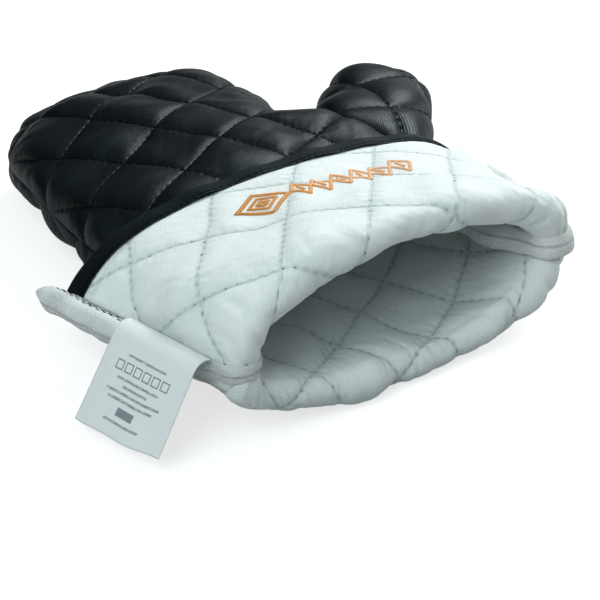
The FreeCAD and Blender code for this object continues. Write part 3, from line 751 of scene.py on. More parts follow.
for side_name, side in SIDES.items():
    under = {}
    flat = thumb_surface(side, thumb_u, thumb_w, 0.0)
    s, edge = cloth_widths(flat)
    w = np.broadcast_to(thumb_w, s.shape)
    numbers = [a * s + b * w + c for a, b, c in THUMB_LINES]
    for face, material in PLIES:
        sign = 1 if face == "outer_cloth" else -1
        pillow = quilting(numbers, THUMB_PITCH, CROWN[face])
        pinch = (1 - np.exp(-edge / THUMB_PINCH)) * (1 - np.exp(-w / THUMB_PINCH))
        depth = THINNEST + PUFF[face] * pillow * pinch * (1 + 0.12 * ripples(s, w, 40, 6, 77))
        outer, inner, under[face] = [thumb_surface(side, thumb_u, thumb_w, sign * off)
                                     for off in (depth, depth - CLOTH, wadding_depth(depth))]
        faces_of_thumb[side_name, face] = (outer, s, w)
        name = "thumb_%s_%s" % (side_name, face)
        grain = np.stack([n * p for n, p in zip(numbers, THUMB_PITCH)], -1)
        values = {"pillow": pillow * pinch, "line_a": numbers[0], "line_b": numbers[1]}
        piece = cloth_sheet(name + "_ply", outer, inner, grain / 1000, values)
        hold_in_place(piece, name, face, material)
        bend_at_root(piece)
    piece = cloth_sheet("thumb_%s_wadding_ply" % side_name,
                        under["outer_cloth"][::2, ::2], under["lining"][::2, ::2])
    hold_in_place(piece, "thumb_%s_wadding" % side_name, "wadding", wool)
    bend_at_root(piece)

# ============================================================ sewing thread
# Every seam is a lockstitch: short lengths of thread that lie on the cloth and dive into
# their needle holes.  Each stitch is a small closed spindle.
AROUND, STAGES = 6, 5      # of a spindle
# width of the thread, its rise in the middle of a stitch and its depth at the holes
BLACK_STITCH, WHITE_STITCH, LOOP = (0.42, 0.16, 0.35), (0.36, 0.12, 0.35), (0.42, 0.08, 0.12)
LOOPS_SEEN = 0.16          # share of the lining's stitches where the black thread shows
SEW_CLEAR = 3.0            # of the cloth's edges
HEM_CLEAR = 1.5            # of the hem binding
END_CLEAR, THUMB_END_CLEAR = 12.0, 8.0         # of the finger's and the thumb's ends


def spindles(starts, ends, normals, width, lift, sag):
    """Points and quads of one spindle per stitch.  Its rings lie on the line from start to
    end, raised by lift in the middle and sunk by sag at the ends, and narrow at the ends."""
    k = np.linspace(0, 1, STAGES)
    bow = 1 - (2 * k - 1) ** 2
    girth = np.sqrt(np.clip(1 - (2 * k - 1) ** 4, 0.06, 1)) * width / 2
    along = unit(ends - starts)
    side = unit(np.cross(along, normals))
    up = np.cross(side, along)
    centre = starts[:, None] + (ends - starts)[:, None] * k[None, :, None]
    centre = centre + up[:, None] * ((lift + sag) * bow - sag)[None, :, None]
    angle = np.arange(AROUND) * 2 * np.pi / AROUND
    ring = (side[:, None, None] * np.cos(angle)[None, None, :, None]
            + up[:, None, None] * np.sin(angle)[None, None, :, None])
    points = centre[:, :, None] + ring * girth[None, :, None, None]
    quads = tube_quads(STAGES, AROUND)
    caps = []
    for base, order in ((0, (0, 3, 2, 1)), ((STAGES - 1) * AROUND, (0, 1, 2, 3))):
        caps.append([base + c for c in order])
        caps.append([base + (c + 3) % AROUND for c in order])
    quads = np.concatenate([quads, np.array(caps)])
    all_quads = quads[None] + (np.arange(len(starts)) * STAGES * AROUND)[:, None, None]
    return points.reshape(-1, 3), all_quads.reshape(-1, 4)


def thread_piece(name, stitches, form, material, body="mitt"):
    """One piece of many stitches: their starts, ends and normals, and the thread's form.
    Without a body it is attached to none."""
    piece = quad_object(name, *spindles(*stitches, *form))
    piece.data.materials.append(material)
    if body:
        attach(piece, body)
    return piece


def sampled(grid, row, column):
    """Values of a grid between its points."""
    rows, columns = grid.shape[:2]
    i = np.clip(row.astype(int), 0, rows - 2)
    j = np.clip(column.astype(int), 0, columns - 2)
    a, b = row - i, column - j
    if grid.ndim == 3:
        a, b = a[:, None], b[:, None]
    return ((grid[i, j] * (1 - b) + grid[i, j + 1] * b) * (1 - a)
            + (grid[i + 1, j] * (1 - b) + grid[i + 1, j + 1] * b) * a)


def grid_place(s_grid, along, s, t):
    """Row and column of the cloth point (s, t): the row from t, and in it the column
    where the grid's own s passes the wanted one."""
    row = np.interp(t, along, np.arange(len(along)))
    low = np.clip(row.astype(int), 0, len(along) - 2)
    part = (row - low)[:, None]
    line = s_grid[low] * (1 - part) + s_grid[low + 1] * part
    j = np.clip((line < s[:, None]).sum(1) - 1, 0, s_grid.shape[1] - 2)
    pick = np.arange(len(s))
    a, b = line[pick, j], line[pick, j + 1]
    return row, j + np.clip((s - a) / (b - a + 1e-9), -1, 2)


def normals_of(grid):
    """Unit normals of a grid of points."""
    return unit(np.cross(np.gradient(grid, axis=0), np.gradient(grid, axis=1)))


def holes_on_lines(numbers_at, pitch, s_reach, t_reach, start):
    """Cloth places of the needle holes of both families, in order along each line, found
    by Newton's method on the line numbers from a straight first guess."""
    a, b, c = start[0]
    d, e, f = start[1]
    back = np.linalg.inv(np.array([[a, b], [d, e]]))
    corners = np.array([(p, q) for p in s_reach for q in t_reach])
    spans = np.stack(numbers_at(corners[:, 0], corners[:, 1]), -1)
    for k in (0, 1):
        lines = np.arange(math.ceil(spans[:, k].min()) - 1, math.floor(spans[:, k].max()) + 2)
        step = STITCH / pitch[1 - k]
        first, stop = (spans[:, 1 - k].min() - 1) / step, (spans[:, 1 - k].max() + 1) / step
        for line in lines:
            other = (np.arange(math.ceil(first), stop) - PHASE * line) * step
            wanted = [np.full(len(other), line), other]
            wanted = np.stack(wanted[::-1] if k else wanted, -1)
            at = (wanted - np.array([c, f])) @ back.T
            for _ in range(14):
                now = np.stack(numbers_at(at[:, 0], at[:, 1]), -1)
                ds = np.stack(numbers_at(at[:, 0] + 0.1, at[:, 1]), -1) - now
                dt = np.stack(numbers_at(at[:, 0], at[:, 1] + 0.1), -1) - now
                miss = wanted - now
                det = ds[:, 0] * dt[:, 1] - ds[:, 1] * dt[:, 0]
                at[:, 0] += 0.1 * (miss[:, 0] * dt[:, 1] - miss[:, 1] * dt[:, 0]) / det
                at[:, 1] += 0.1 * (miss[:, 1] * ds[:, 0] - miss[:, 0] * ds[:, 1]) / det
            yield at[:, 0], at[:, 1]


def quilting_thread(outer, s_grid, along, holes, away_from_edge, t_from, t_to, allowed):
    """Starts, ends and normals of the stitches between neighbouring holes that lie on the
    cloth, clear of its edges and of what is cut away."""
    stitches = []
    normal_grid = normals_of(outer)
    half_width = s_grid[:, -1]
    for s, t in holes:
        edge = np.interp(t, along, half_width) - np.abs(s)
        good = (edge > away_from_edge) & (t > t_from) & (t < t_to)
        row, column = grid_place(s_grid, along, s, t)
        good &= sampled(allowed, row, column) > 0.99
        points = sampled(outer, row, column)
        normal = sampled(normal_grid, row, column)
        pair = good[:-1] & good[1:]
        pair &= np.linalg.norm(np.diff(points, axis=0), axis=1) < 2 * STITCH
        stitches.append((points[:-1][pair], points[1:][pair], normal[:-1][pair]))
    return [np.concatenate(part) for part in zip(*stitches)]


def thread_material(name, colour, roughness):
    """Mercerised thread, mottled by the twist of its plies."""
    material, tree, shader = new_material(name, Roughness=roughness, Specular_IOR_Level=0.03)
    low = tuple(c * 0.72 for c in colour)
    paint(tree, shader, noise(tree, in_space(tree), 2200.0, 2.0), ((0.3, low), (0.7, colour)))
    return material


black_thread = thread_material("black_thread", (0.0010, 0.0012, 0.0014), 0.7)
white_thread = thread_material("white_thread", (0.74, 0.77, 0.765), 0.6)
dark_speck = thread_material("dark_thread_loop", (0.05, 0.065, 0.07), 0.7)

for side_name, side in SIDES.items():
    for face in ("outer_cloth", "lining"):
        outer, s_grid, cut = faces_of_mitt[side_name, face]
        reach = float(s_grid.max())
        holes = list(holes_on_lines(lambda s, t: line_numbers(side, s, t), pitches(side),
                                    (-reach, reach), (0.0, CLOTH_LENGTH), near_lines(side)))
        starts, ends, normals = quilting_thread(
            outer, s_grid, along_cloth[:, 0], holes, SEW_CLEAR, BINDING_WIDTH + HEM_CLEAR,
            CLOTH_LENGTH - END_CLEAR, 1.0 - cut)
        name = "%s_%s_quilting" % (side_name, face)
        if face == "outer_cloth":
            thread_piece(name, (starts, ends, normals), BLACK_STITCH, black_thread)
            continue
        thread_piece(name, (starts, ends, normals), WHITE_STITCH, white_thread)
        rng = np.random.RandomState(3 + side)
        seen = rng.uniform(size=len(starts)) < LOOPS_SEEN
        half = unit(ends - starts)[seen] * rng.uniform(0.2, 0.55, (seen.sum(), 1))
        thread_piece(name + "_loops", (starts[seen] - half, starts[seen] + half, normals[seen]),
                     LOOP, dark_speck)

for side_name, side in SIDES.items():
    outer, s_grid, w_grid = faces_of_thumb[side_name, "outer_cloth"]
    reach = float(s_grid.max())
    holes = list(holes_on_lines(
        lambda s, t: [a * s + b * t + c for a, b, c in THUMB_LINES], THUMB_PITCH,
        (-reach, reach), (0.0, float(w_grid.max())), THUMB_LINES))
    stitches = quilting_thread(outer, s_grid, thumb_w[:, 0], holes, SEW_CLEAR, SEW_CLEAR,
                               float(w_grid.max()) - THUMB_END_CLEAR, np.ones(s_grid.shape))
    bend_at_root(thread_piece("thumb_%s_outer_cloth_quilting" % side_name, stitches,
                              BLACK_STITCH, black_thread, body=None))

# ============================================================ hem bindings
# A strip of black bias cloth folded over each hem: up one face, round the raw edge and
# down the other, and topstitched near its inner edges, where it puckers a little.
BINDING_CLOTH = 0.7        # its thickness
BINDING_STITCH = (0.4, 0.1, 0.1)
STITCHED_AT = 7.6          # of the binding's width
BINDING_BULGE, BINDING_TUCK = 0.28, 0.75       # of its flats, and of their inner edges
PUCKER, PUCKER_PITCH = 0.13, 3.1       # depth at the stitches, and from one to the next
WAVY, WANDER = 0.28, 0.32  # how uneven its thickness and its inner edges are


def twill(name, stops, rib, depth, mesh_share, **constants):
    """Twill: fine ribs on the diagonal of the cloth coordinates, crossed by its picks."""
    material, tree, shader = new_material(name, **constants)
    place, across, along = cloth_axes(tree)
    diagonal = wave(tree, maths(tree, "ADD", across, along), rib)
    cross = wave(tree, maths(tree, "SUBTRACT", across, along), rib * 1.15)
    fuzz = noise(tree, place, 2400.0, 3.0)
    height = add_up(tree, diagonal, (cross, mesh_share), (fuzz, 1.8))
    emboss(tree, shader, height, 0.7, depth)
    patches = noise(tree, in_space(tree), 60.0, 4.0)
    pores = maths(tree, "MULTIPLY", largest(tree, diagonal, -0.4), largest(tree, cross, -0.4))
    paint(tree, shader, add_up(tree, patches, (pores, 0.22)), stops)
    return material


black_twill = twill(
    "black_bias_binding",
    ((0.25, (0.0008, 0.0012, 0.0014)), (0.75, (0.0050, 0.0072, 0.0082))), 0.0011, 0.00010, 0.4,
    Roughness=0.55, Sheen_Weight=0.06, Sheen_Roughness=0.3, Sheen_Tint=BLOOM,
    Specular_IOR_Level=0.10, Specular_Tint=COOL)


def binding_profile(skin):
    """Places along the binding's U: t from the hem, and off from mid surface.  skin is the
    depth under its face.  Two flats joined by a half round over the raw edge."""
    radius = HALF * HEM_SQUEEZE + BINDING_OUT - skin
    flat = np.linspace(BINDING_WIDTH, 0, 10)
    bulge = BINDING_BULGE * np.sin(np.pi * np.clip(flat / BINDING_WIDTH, 0, 1)) ** 0.8
    tuck = BINDING_TUCK * np.exp(-((BINDING_WIDTH - flat) / 0.7) ** 2) * (skin == 0)
    turn = np.linspace(-np.pi / 2, np.pi / 2, 9)[1:-1]
    t = np.concatenate([flat, -radius * np.cos(turn) * 0.55, flat[::-1]])
    off = np.concatenate([-(radius + bulge - tuck), radius * np.sin(turn),
                          (radius + bulge - tuck)[::-1]])
    return t, off


for side_name, side in SIDES.items():
    u = spread_evenly(side, 321)[None, :]
    layers = []
    length_along = np.linspace(0, 1, 321)[None, :] * 2 * float(
        faces_of_mitt[side_name, "lining"][1][0, -1])
    for skin in (0.0, BINDING_CLOTH):
        t, off = binding_profile(skin)
        t, off = t[:, None], off[:, None]
        pucker = PUCKER * np.cos(2 * np.pi * length_along / PUCKER_PITCH)
        pucker = pucker * np.exp(-((t - STITCHED_AT) / 1.3) ** 2)
        uneven = WAVY * ripples(length_along, 0 * t + 3, 19, 7, 23 + side)
        edge_wander = WANDER * ripples(length_along, 0 * t, 31, 6, 29 + side) * (t > 6)
        lifted = (off + np.sign(off) * (uneven * (np.abs(off) > 1) - pucker)) / HEM_SQUEEZE
        layers.append(mitt_surface(side, u, t + edge_wander, lifted))
    profile_length = np.concatenate([[0], np.cumsum(np.abs(np.diff(t[:, 0])) + 0.1)])[:, None]
    uv = np.stack(np.broadcast_arrays(length_along, profile_length), -1) / 1000
    piece = cloth_sheet(side_name + "_hem_binding_strip", layers[0], layers[1], uv)
    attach(piece, "mitt")
    hold_in_place(piece, side_name + "_hem_binding", "hem_binding", black_twill)
    row = int(np.argmin(np.abs(t[:9, 0] - STITCHED_AT)))
    line = layers[0][row]
    normal = normals_of(layers[0])[row]
    normal = normal * np.sign((normal * (layers[0] - layers[1])[row]).sum(-1, keepdims=True))
    thread_piece(side_name + "_binding_topstitch", (line[:-1:2], line[1::2], normal[:-1:2]),
                 BINDING_STITCH, black_thread)

# ============================================================ bound side seams
# The seam allowances of both panels are pressed together on the lining side and wrapped in
# white twill tape, sewn down with two rows of black thread.  The bound edge stands out as a
# plump roll; at the hem its end is folded in to a blunt point.
ROLL = 4.6                 # half thickness
TAPE_PLAY = 0.8            # between the roll and the lining
TAPE_TAIL = 7.5            # past the hem
TAPE_AROUND = 34           # points round the roll
TAPE_PITCH = 4.3           # from stitch to stitch
TAPE_STITCH = (0.5, 0.16, 0.12)
STITCH_ROWS = ((-0.25, 3.0 - TAPE_TAIL), (-0.80, -0.5))    # place across, and first t
PRESSED, TAPE_SWELL = 0.34, 26.0       # share left at the mouth fold, and where it ends
SUNK_LEFT, SUNK_RIGHT = 3.4, 1.6       # how deep the fold's wadding takes the roll in
white_tape = twill(
    "white_twill_tape",
    ((0.20, (0.50, 0.56, 0.56)), (0.42, (0.76, 0.80, 0.79)), (0.85, (0.83, 0.85, 0.84))),
    0.0012, 0.00018, 0.9, Roughness=0.9, Sheen_Weight=0.05, Specular_IOR_Level=0.2)


def pressed(t):
    """Share of its thickness that the roll keeps at t along the cloth: least round the
    mouth fold, and by a smooth step back to the full roll on either side of it."""
    away = np.maximum(CUFF_LENGTH - t, t - HAND_FROM) / TAPE_SWELL
    return PRESSED + (1 - PRESSED) * eased(np.clip(away, 0, 1))


def seam_middle(u_edge, t, share=1.0):
    """Middle of the bound seam beside a panel's edge, and the way out from the edge."""
    lining = mitt_surface(BACK, u_edge, t, -HALF)
    out = unit(mitt_surface(BACK, u_edge, t, -HALF - ROLL) - lining)
    share = np.reshape(share, (-1, 1))
    sunk = (SUNK_LEFT if u_edge < 0 else SUNK_RIGHT) * (1 - share) / (1 - PRESSED)
    return lining + out * ((ROLL + TAPE_PLAY) * share - sunk), out


def seam_track(u_edge, t):
    """The same along a path that may start past the hem, where it runs straight on."""
    centre, out = seam_middle(u_edge, np.maximum(t, 0.0), pressed(t))
    at_hem, before = seam_middle(u_edge, np.array([0.0, 2 * BINDING_WIDTH]))[0]
    return centre + np.clip(-t, 0, None)[:, None] * unit(at_hem - before), out


def frames_along(centre, out):
    """Unit vectors out and up at each point of a path; up leans to the back panel."""
    along = unit(np.gradient(centre, axis=0))
    out = unit(out - along * (out * along).sum(1, keepdims=True))
    return out, np.cross(along, out)


def tape_section(angle):
    """Section of the bound seam at an angle, in shares of ROLL: out from the panels and up.
    An oval whose inner part, under the stitches, is pressed thin."""
    x = 0.12 + 1.24 * np.sign(np.cos(angle)) * np.abs(np.cos(angle)) ** 0.85
    swell = eased(np.clip((x + 1.10) / 1.3, 0, 1))
    return x, (0.40 + 0.96 * swell) * np.sign(np.sin(angle)) * np.abs(np.sin(angle)) ** 0.85


def bound_seam(name, node, body, centre, out, t, lean, seed, flip):
    """Tape roll along a path with its stitches: a closed tube and its rows of thread.
    Without a body it is attached to none, and its placement is baked into its points."""
    out, up = frames_along(centre, out)
    up = up * flip
    out, up = (out * np.cos(lean) - up * np.sin(lean), up * np.cos(lean) + out * np.sin(lean))
    angle = np.linspace(0, 2 * np.pi, TAPE_AROUND, endpoint=False)
    run = lengths_along(centre)
    x, y = tape_section(angle[None, :])
    lumps = 1 + 0.045 * ripples(run[:, None], ROLL * angle[None, :], 17, 8, seed)
    end = np.sin(np.clip((t + TAPE_TAIL) / 8.0, 0, 1) * np.pi / 2)[:, None]
    thin, narrow = 0.10 + 0.90 * end, 0.34 + 0.66 * end
    slant = (1 - end) * 0.35
    share = pressed(t)[:, None]
    px = ROLL * (x * narrow * share + slant) * lumps
    py = ROLL * (y * thin * (0.72 + 0.28 * share) - slant * 1.3) * lumps
    dents = 0.16 * np.cos(2 * np.pi * run[:, None] / TAPE_PITCH)
    py = py - np.sign(y) * dents * np.exp(-((x + 0.52) / 0.22) ** 2)
    points = centre[:, None] + out[:, None] * px[..., None] + up[:, None] * py[..., None]
    rows = len(centre)
    caps = [[base + k, base + k + 1, base + TAPE_AROUND - 2 - k, base + TAPE_AROUND - 1 - k]
            for base in (0, (rows - 1) * TAPE_AROUND) for k in range(TAPE_AROUND // 2 - 1)]
    quads = np.concatenate([tube_quads(rows, TAPE_AROUND), np.array(caps)])
    around = np.broadcast_to(angle * ROLL, (rows, TAPE_AROUND))
    uv = np.stack([np.broadcast_to(run[:, None], around.shape), around], -1) / 1000
    piece = make_mesh(name, points.reshape(-1, 3), quads, uv.reshape(-1, 2))
    threads = []
    for row_x, first in STITCH_ROWS:
        for sign in (1, -1):
            at = np.argmin(np.abs(x[0] - row_x) + 10 * (np.sign(y[0]) != sign))
            marks = np.arange(run[np.searchsorted(t, first)], run[-1], TAPE_PITCH)
            track = np.stack([np.interp(marks, run, points[:, at, k]) for k in range(3)], -1)
            rise = np.stack([np.interp(marks, run, (up * sign)[:, k]) for k in range(3)], -1)
            step = np.diff(track, axis=0)
            threads.append((track[:-1] + step * 0.12, track[1:] - step * 0.12, rise[:-1]))
    thread = thread_piece(name + "_stitches", [np.concatenate(part) for part in zip(*threads)],
                          TAPE_STITCH, black_thread, body=body)
    hold_in_place(piece, node, "seam_tape", white_tape)
    if body:
        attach(piece, body)
    else:
        bend_at_root(piece)
        bend_at_root(thread)


TAPE_END = HAND_FROM + 88 - FOLD_RADIUS        # where the wrist's tape meets the thumb's
TIP_T = CLOTH_LENGTH - 9   # where the tape passes the finger tip
FAR_IN = 300.0             # a place along the cloth where the roll is full
t_left = np.concatenate([np.arange(-TAPE_TAIL, 0, 0.7), np.arange(0, 130, 1.1),
                         np.arange(130, DOME_FROM, 4.0), np.linspace(DOME_FROM, TIP_T, 24)])
t_back = np.concatenate([np.linspace(TIP_T, DOME_FROM, 24),
                         np.arange(DOME_FROM - 4, DOME_FROM - 18, -4.0)])
side_centre, side_out = [np.concatenate(parts) for parts in zip(seam_track(-1.0, t_left),
                                                                seam_track(1.0, t_back))]
side_t = np.concatenate([t_left, np.full(len(t_back), FAR_IN)])
bound_seam("side_seam_binding", "side_seam_tape", "mitt", side_centre, side_out, side_t,
           -0.25, 61, 1)
t_right = np.concatenate([np.arange(-TAPE_TAIL, 0, 0.7), np.arange(0, 150, 1.1),
                          np.arange(150, TAPE_END, 3.0)])
bound_seam("wrist_seam_binding", "wrist_seam_tape", "mitt", *seam_track(1.0, t_right),
           t_right, 0.2, 67, -1)

heel_edge, crotch_edge = [thumb_surface(BACK, u_edge, thumb_w, -HALF - ROLL)[2:-6, 0]
                          for u_edge in (1.0, -1.0)]
thumb_centre = np.concatenate([heel_edge, crotch_edge[::-1]])
bound_seam("thumb_seam_binding", "thumb_seam_tape", None, thumb_centre,
           unit(thumb_centre.mean(0) - thumb_centre), np.full(len(thumb_centre), FAR_IN),
           0.0, 71, 1)

# ============================================================ care label
# A white satin ribbon, caught in the seam beside the roll: it laps over the roll and hangs
# outside it with a slight curl.  Grey rules of a generic print run across it.
LABEL_WIDTH, LABEL_MIDDLE = 47.0, 36.0         # middle: from the front of the mouth
LABEL_CLEAR, LABEL_CLOTH, LABEL_DROP = 2.15, 0.3, 36.0     # clear of the roll
LABEL_SLOPE, LABEL_LAP = math.radians(26.0), math.radians(118.0)
LABEL_SLID, LABEL_SKEW = 2.2, 4.5      # along the seam, everywhere and at its top
label_t = HEM_Y - LABEL_MIDDLE + np.array([LABEL_WIDTH, -LABEL_WIDTH]) / 2
near_end, far_end = seam_middle(-1.0, label_t)[0]
label_along = unit(far_end - near_end)
label_outward = unit(np.cross(np.array([0, 0, 1.0]), label_along))
label_up = np.cross(label_along, label_outward)
label_middle = (near_end + far_end) / 2

profile_angle = np.linspace(LABEL_LAP, LABEL_SLOPE, 26)
round_length = (ROLL + LABEL_CLEAR) * (LABEL_LAP - LABEL_SLOPE)
drop_at = np.linspace(0, 1, 44)[1:]
label_width_at = np.linspace(-0.5, 0.5, 56)


def label_sheet(off):
    """Points of the ribbon, off from its under face: round the roll, then down a slope that
    flattens towards its end, with a wave across the width that grows downwards."""
    radius = ROLL + LABEL_CLEAR + off
    arc = np.stack([radius * np.cos(profile_angle), radius * np.sin(profile_angle)], -1)
    lean = LABEL_SLOPE + 0.16 * drop_at ** 1.5
    step = LABEL_DROP * np.diff(np.concatenate([[0], drop_at]))
    hang = np.stack([np.cumsum(step * np.sin(lean)), -np.cumsum(step * np.cos(lean))], -1)
    hang = hang + arc[-1]
    profile = np.concatenate([arc, hang])
    grown = np.concatenate([np.zeros(len(arc)), drop_at])[:, None]
    w = label_width_at[None, :]
    bow = 1.6 * np.cos(2 * np.pi * (w * 0.55 + 0.12)) + 0.5 * np.sin(2 * np.pi * w * 1.6)
    out = profile[:, :1] + bow * grown
    up = profile[:, 1:] + 0.6 * grown * w
    slide = w * LABEL_WIDTH + LABEL_SLID + LABEL_SKEW * (1 - grown) ** 1.5
    return (label_middle + label_outward * out[..., None] + label_up * up[..., None]
            + label_along * (-slide)[..., None])


label_run = np.concatenate([np.linspace(0, round_length, len(profile_angle)),
                            round_length + LABEL_DROP * drop_at])
label_uv = np.stack(np.broadcast_arrays(label_width_at[None, :] * LABEL_WIDTH,
                                        label_run[:, None]), -1) / 1000
label = cloth_sheet("care_label_ribbon", label_sheet(LABEL_CLOTH), label_sheet(0.0), label_uv)
satin, satin_tree, satin_shader = new_material(
    "white_satin", Roughness=0.42, Sheen_Weight=0.1, Specular_IOR_Level=0.4)
satin_place, satin_across, satin_along = cloth_axes(satin_tree)
satin_ribs = wave(satin_tree, satin_along, 0.0005)
satin_fuzz = noise(satin_tree, stretched(satin_tree, satin_place, 60, 900), 1.0, 3.0)
emboss(satin_tree, satin_shader, add_up(satin_tree, satin_ribs, (satin_fuzz, 1.5)), 0.3, 0.00005)
# printed rows: (place down the ribbon, half length, half thickness), in metres
PRINT = ((0.0150, 0.0110, 0.0005), (0.0245, 0.0120, 0.00055), (0.0272, 0.0070, 0.00055),
         (0.0298, 0.0150, 0.00055), (0.0324, 0.0125, 0.00055), (0.0410, 0.0100, 0.00055))
BLOCK_DOWN, BLOCK_LONG, BLOCK_THICK = 0.0367, 0.0048, 0.0017
WORD = 0.0031              # mean length of a printed dash
SQUARE_ROW, SQUARE_PITCH, SQUARES = 0.0198, 0.0052, 0.0156  # place down, pitch, half length
SQUARE_HALF, SQUARE_LINE = 0.0018, 0.00028
PAPER, INK = (0.80, 0.84, 0.84), (0.24, 0.29, 0.30)


def inside(value, middle, half):
    """1 where the value is within half of the middle, otherwise 0."""
    return maths(satin_tree, "COMPARE", value, middle, half)


def rule(down, half_long, half_thick):
    """A printed bar: 1 on it, otherwise 0."""
    return maths(satin_tree, "MULTIPLY", inside(satin_along, down, half_thick),
                 inside(satin_across, 0.0, half_long))


rules = largest(satin_tree, *[rule(*row) for row in PRINT])
row_place = add_node(satin_tree, "ShaderNodeCombineXYZ",
                     {0: satin_across, 1: maths(satin_tree, "MULTIPLY", satin_along, 40.0)})
words = noise(satin_tree, row_place.outputs[0], 1.0 / WORD, 0.0)
dashes = maths(satin_tree, "MULTIPLY", rules, maths(satin_tree, "GREATER_THAN", words, 0.42))
cell = maths(satin_tree, "PINGPONG", satin_across, SQUARE_PITCH / 2)
cell = maths(satin_tree, "SUBTRACT", SQUARE_PITCH / 2, cell)
level = maths(satin_tree, "ABSOLUTE", maths(satin_tree, "SUBTRACT", satin_along, SQUARE_ROW))
edge_of = largest(satin_tree, cell, level)
squares = maths(satin_tree, "MULTIPLY", inside(edge_of, SQUARE_HALF, SQUARE_LINE),
                inside(satin_across, 0.0, SQUARES))
inked = largest(satin_tree, dashes, squares, rule(BLOCK_DOWN, BLOCK_LONG, BLOCK_THICK))
paint(satin_tree, satin_shader, inked, ((0.0, PAPER), (1.0, INK)))
hold_in_place(label, "care_label", "label_ribbon", satin)
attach(label, "label")

# ============================================================ embroidery
# A band of plain satin-stitch diamonds on the turned-back cuff, in orange thread that pales
# towards one end.
BAND_FROM, BAND_TO = np.array([-43.0, 35.5]), np.array([36.0, 46.5])
band_way = unit(BAND_TO - BAND_FROM)
band_side = np.array([-band_way[1], band_way[0]])
BAND_LENGTH = float(np.linalg.norm(BAND_TO - BAND_FROM))
FIRST_HALF, FIRST_TALL = 12.0, 10.5    # half length and height of the first diamond
MOTIFS, MOTIF_TALL = 6, 9.0            # the smaller ones after it
THREAD_PITCH = 0.46
SLANT = 0.25               # of the threads, off square to their path
RAISED_STITCH = (0.52, 0.55, 0.05)


def satin_column(corners, width):
    """Short threads laid side by side across a path through corners: their two ends."""
    corners = np.array(corners, float)
    starts, ends = [], []
    for a, b in zip(corners, corners[1:]):
        way = unit(b - a)
        across = np.array([-way[1], way[0]]) + SLANT * way
        count = max(int(np.linalg.norm(b - a) / THREAD_PITCH), 2)
        at = a + (b - a) * np.linspace(0, 1, count)[:, None]
        starts.append(at - across * width / 2)
        ends.append(at + across * width / 2)
    return np.concatenate(starts), np.concatenate(ends)


def diamond(middle, half, tall, width):
    """The four sides of a diamond, as satin columns."""
    left, right = middle - half, middle + half
    corners = [(left, 0), (middle, tall), (right, 0), (middle, -tall), (left, 0)]
    return satin_column(corners, width)


columns = [diamond(FIRST_HALF, FIRST_HALF, FIRST_TALL, 2.4),
           diamond(FIRST_HALF, FIRST_HALF * 0.55, FIRST_TALL * 0.55, 1.7),
           diamond(FIRST_HALF, FIRST_HALF * 0.2, FIRST_TALL * 0.2, 2.6)]
rest_from = 2 * FIRST_HALF + 1.0
motif_pitch = (BAND_LENGTH - rest_from) / MOTIFS
for k in range(MOTIFS):
    middle = rest_from + (k + 0.5) * motif_pitch
    columns.append(diamond(middle, motif_pitch * 0.47, MOTIF_TALL, 1.8))
    bar = [(middle, -MOTIF_TALL * 0.38), (middle, MOTIF_TALL * 0.38)]
    columns.append(satin_column(bar, 1.9))
flat_starts, flat_ends = [np.concatenate(part) for part in zip(*columns)]
lining, lining_s = faces_of_mitt["back", "lining"][:2]


def on_cuff(flat):
    """Points and normals on the cuff's lining from places along and across the band."""
    at = BAND_FROM + flat[:, :1] * band_way + flat[:, 1:] * band_side
    row, column = grid_place(lining_s, along_cloth[:, 0], at[:, 0], at[:, 1])
    return sampled(lining, row, column), sampled(normals_of(lining), row, column)


starts, normal = on_cuff(flat_starts)
ends = on_cuff(flat_ends)[0]
if normal[:, 2].mean() < 0:
    normal = -normal
orange, orange_tree, orange_shader = new_material(
    "orange_embroidery_thread", Roughness=0.38, Sheen_Weight=0.2, Specular_IOR_Level=0.5)
orange_where = in_space(orange_tree)
orange_x = add_node(orange_tree, "ShaderNodeSeparateXYZ", {0: orange_where}).outputs[0]
band_low, band_high = [(x + SHIFT[0]) / 1000 for x in (starts[:, 0].min(), starts[:, 0].max())]
orange_share = maths(orange_tree, "DIVIDE", maths(orange_tree, "SUBTRACT", orange_x, band_low),
                     band_high - band_low)
orange_share = add_up(orange_tree, orange_share,
                      (noise(orange_tree, orange_where, 900.0, 2.0), 0.25))
paint(orange_tree, orange_shader, orange_share,
      ((0.12, (0.62, 0.24, 0.015)), (0.45, (0.80, 0.36, 0.09)), (1.0, (0.88, 0.52, 0.30))))
thread_piece("cuff_embroidery", (starts, ends, normal), RAISED_STITCH, orange)

# ============================================================ floor, light and camera
# A plain pale floor and a plain studio: a soft sky that is brightest overhead, a lamp
# beyond the thumb, a low one on the same side and a wide one in front of the cuff.
floor_mesh = bpy.data.meshes.new("floor")
floor_mesh.from_pydata([(-3, -3, -0.0002), (3, -3, -0.0002), (3, 3, -0.0002), (-3, 3, -0.0002)],
                       [], [(0, 1, 2, 3)])
floor = bpy.data.objects.new("floor", floor_mesh)
bpy.context.scene.collection.objects.link(floor)
pale, pale_tree, pale_shader = new_material("pale_floor", Base_Color=(0.50, 0.50, 0.50, 1),
                                            Roughness=0.95, Specular_IOR_Level=0.0,
                                            Emission_Color=(1, 1, 1, 1))
pale_seen = add_node(pale_tree, "ShaderNodeLightPath").outputs["Is Camera Ray"]
pale_tree.links.new(maths(pale_tree, "MULTIPLY", pale_seen, 0.70),
                    pale_shader.inputs["Emission Strength"])
floor_mesh.materials.append(pale)

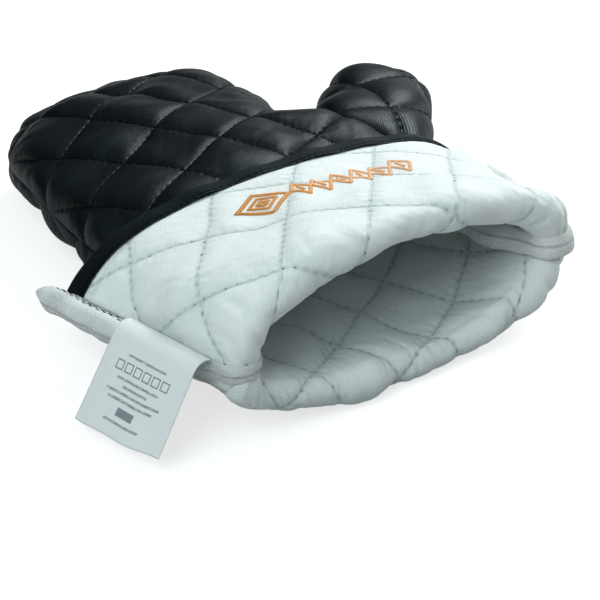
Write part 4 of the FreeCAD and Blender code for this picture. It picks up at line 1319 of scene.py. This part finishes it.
world = bpy.data.worlds.new("studio")
bpy.context.scene.world = world
world.use_nodes = True
sky = world.node_tree
sky_light = sky.nodes["Background"]
sky_light.inputs["Color"].default_value = (0.86, 0.98, 1.0, 1)
sky_height = add_node(sky, "ShaderNodeSeparateXYZ",
                      {0: add_node(sky, "ShaderNodeTexCoord").outputs["Generated"]}).outputs["Z"]
overhead = maths(sky, "POWER", maths(sky, "MAXIMUM", sky_height, 0.0), 3.0)
sky.links.new(add_up(sky, 0.03, (overhead, 0.70)), sky_light.inputs["Strength"])
plain_white = add_node(sky, "ShaderNodeBackground", {"Color": (1, 1, 1, 1), "Strength": 1.0})
seen_by = add_node(sky, "ShaderNodeLightPath")
either = add_node(sky, "ShaderNodeMixShader",
                  {0: seen_by.outputs["Is Camera Ray"], 1: sky_light.outputs[0],
                   2: plain_white.outputs[0]})
sky.links.new(either.outputs[0], sky.nodes["World Output"].inputs["Surface"])


def place_facing(name, data, location, aim):
    """A lamp or camera at a location, facing a point."""
    placed = bpy.data.objects.new(name, data)
    bpy.context.scene.collection.objects.link(placed)
    placed.location = location
    direction = Vector(aim) - Vector(location)
    placed.rotation_euler = direction.to_track_quat("-Z", "Y").to_euler()
    return placed


def lamp(name, location, aim, size, power, colour):
    """A square soft lamp that faces a point."""
    data = bpy.data.lights.new(name, "AREA")
    data.shape = "SQUARE"
    data.size = size
    data.energy = power
    data.color = colour
    place_facing(name, data, location, aim)


lamp("key", (1.0, 0.6, 1.0), (0, 0, 0.03), 0.45, 16.5, (1.0, 0.995, 0.98))
lamp("rim", (1.2, -0.15, 0.38), (0, 0, 0.04), 0.4, 5.5, (0.97, 1.0, 1.0))
lamp("fill", (-0.92, -0.5, 1.02), (0, 0, 0.03), 0.8, 10.5, (0.90, 0.99, 1.0))

azimuth, elevation = math.radians(-38.4), math.radians(32.1)
towards = np.array([math.sin(azimuth) * math.cos(elevation),
                    -math.cos(azimuth) * math.cos(elevation), math.sin(elevation)])
CAMERA_AWAY = 700.0        # from the middle of the mouth
mouth = np.array([0, 0, 40.0])
camera_at = (mouth + towards * CAMERA_AWAY + SHIFT) / 1000
aim = (np.array([-35.5, 28.1, 39.2]) + SHIFT) / 1000
camera_data = bpy.data.cameras.new("camera")
camera_data.sensor_width = 36
camera_data.lens = 106.3
camera_data.clip_start, camera_data.clip_end = 0.01, 50
bpy.context.scene.camera = place_facing("camera", camera_data, camera_at, aim)
bpy.context.scene.view_settings.view_transform = "Standard"
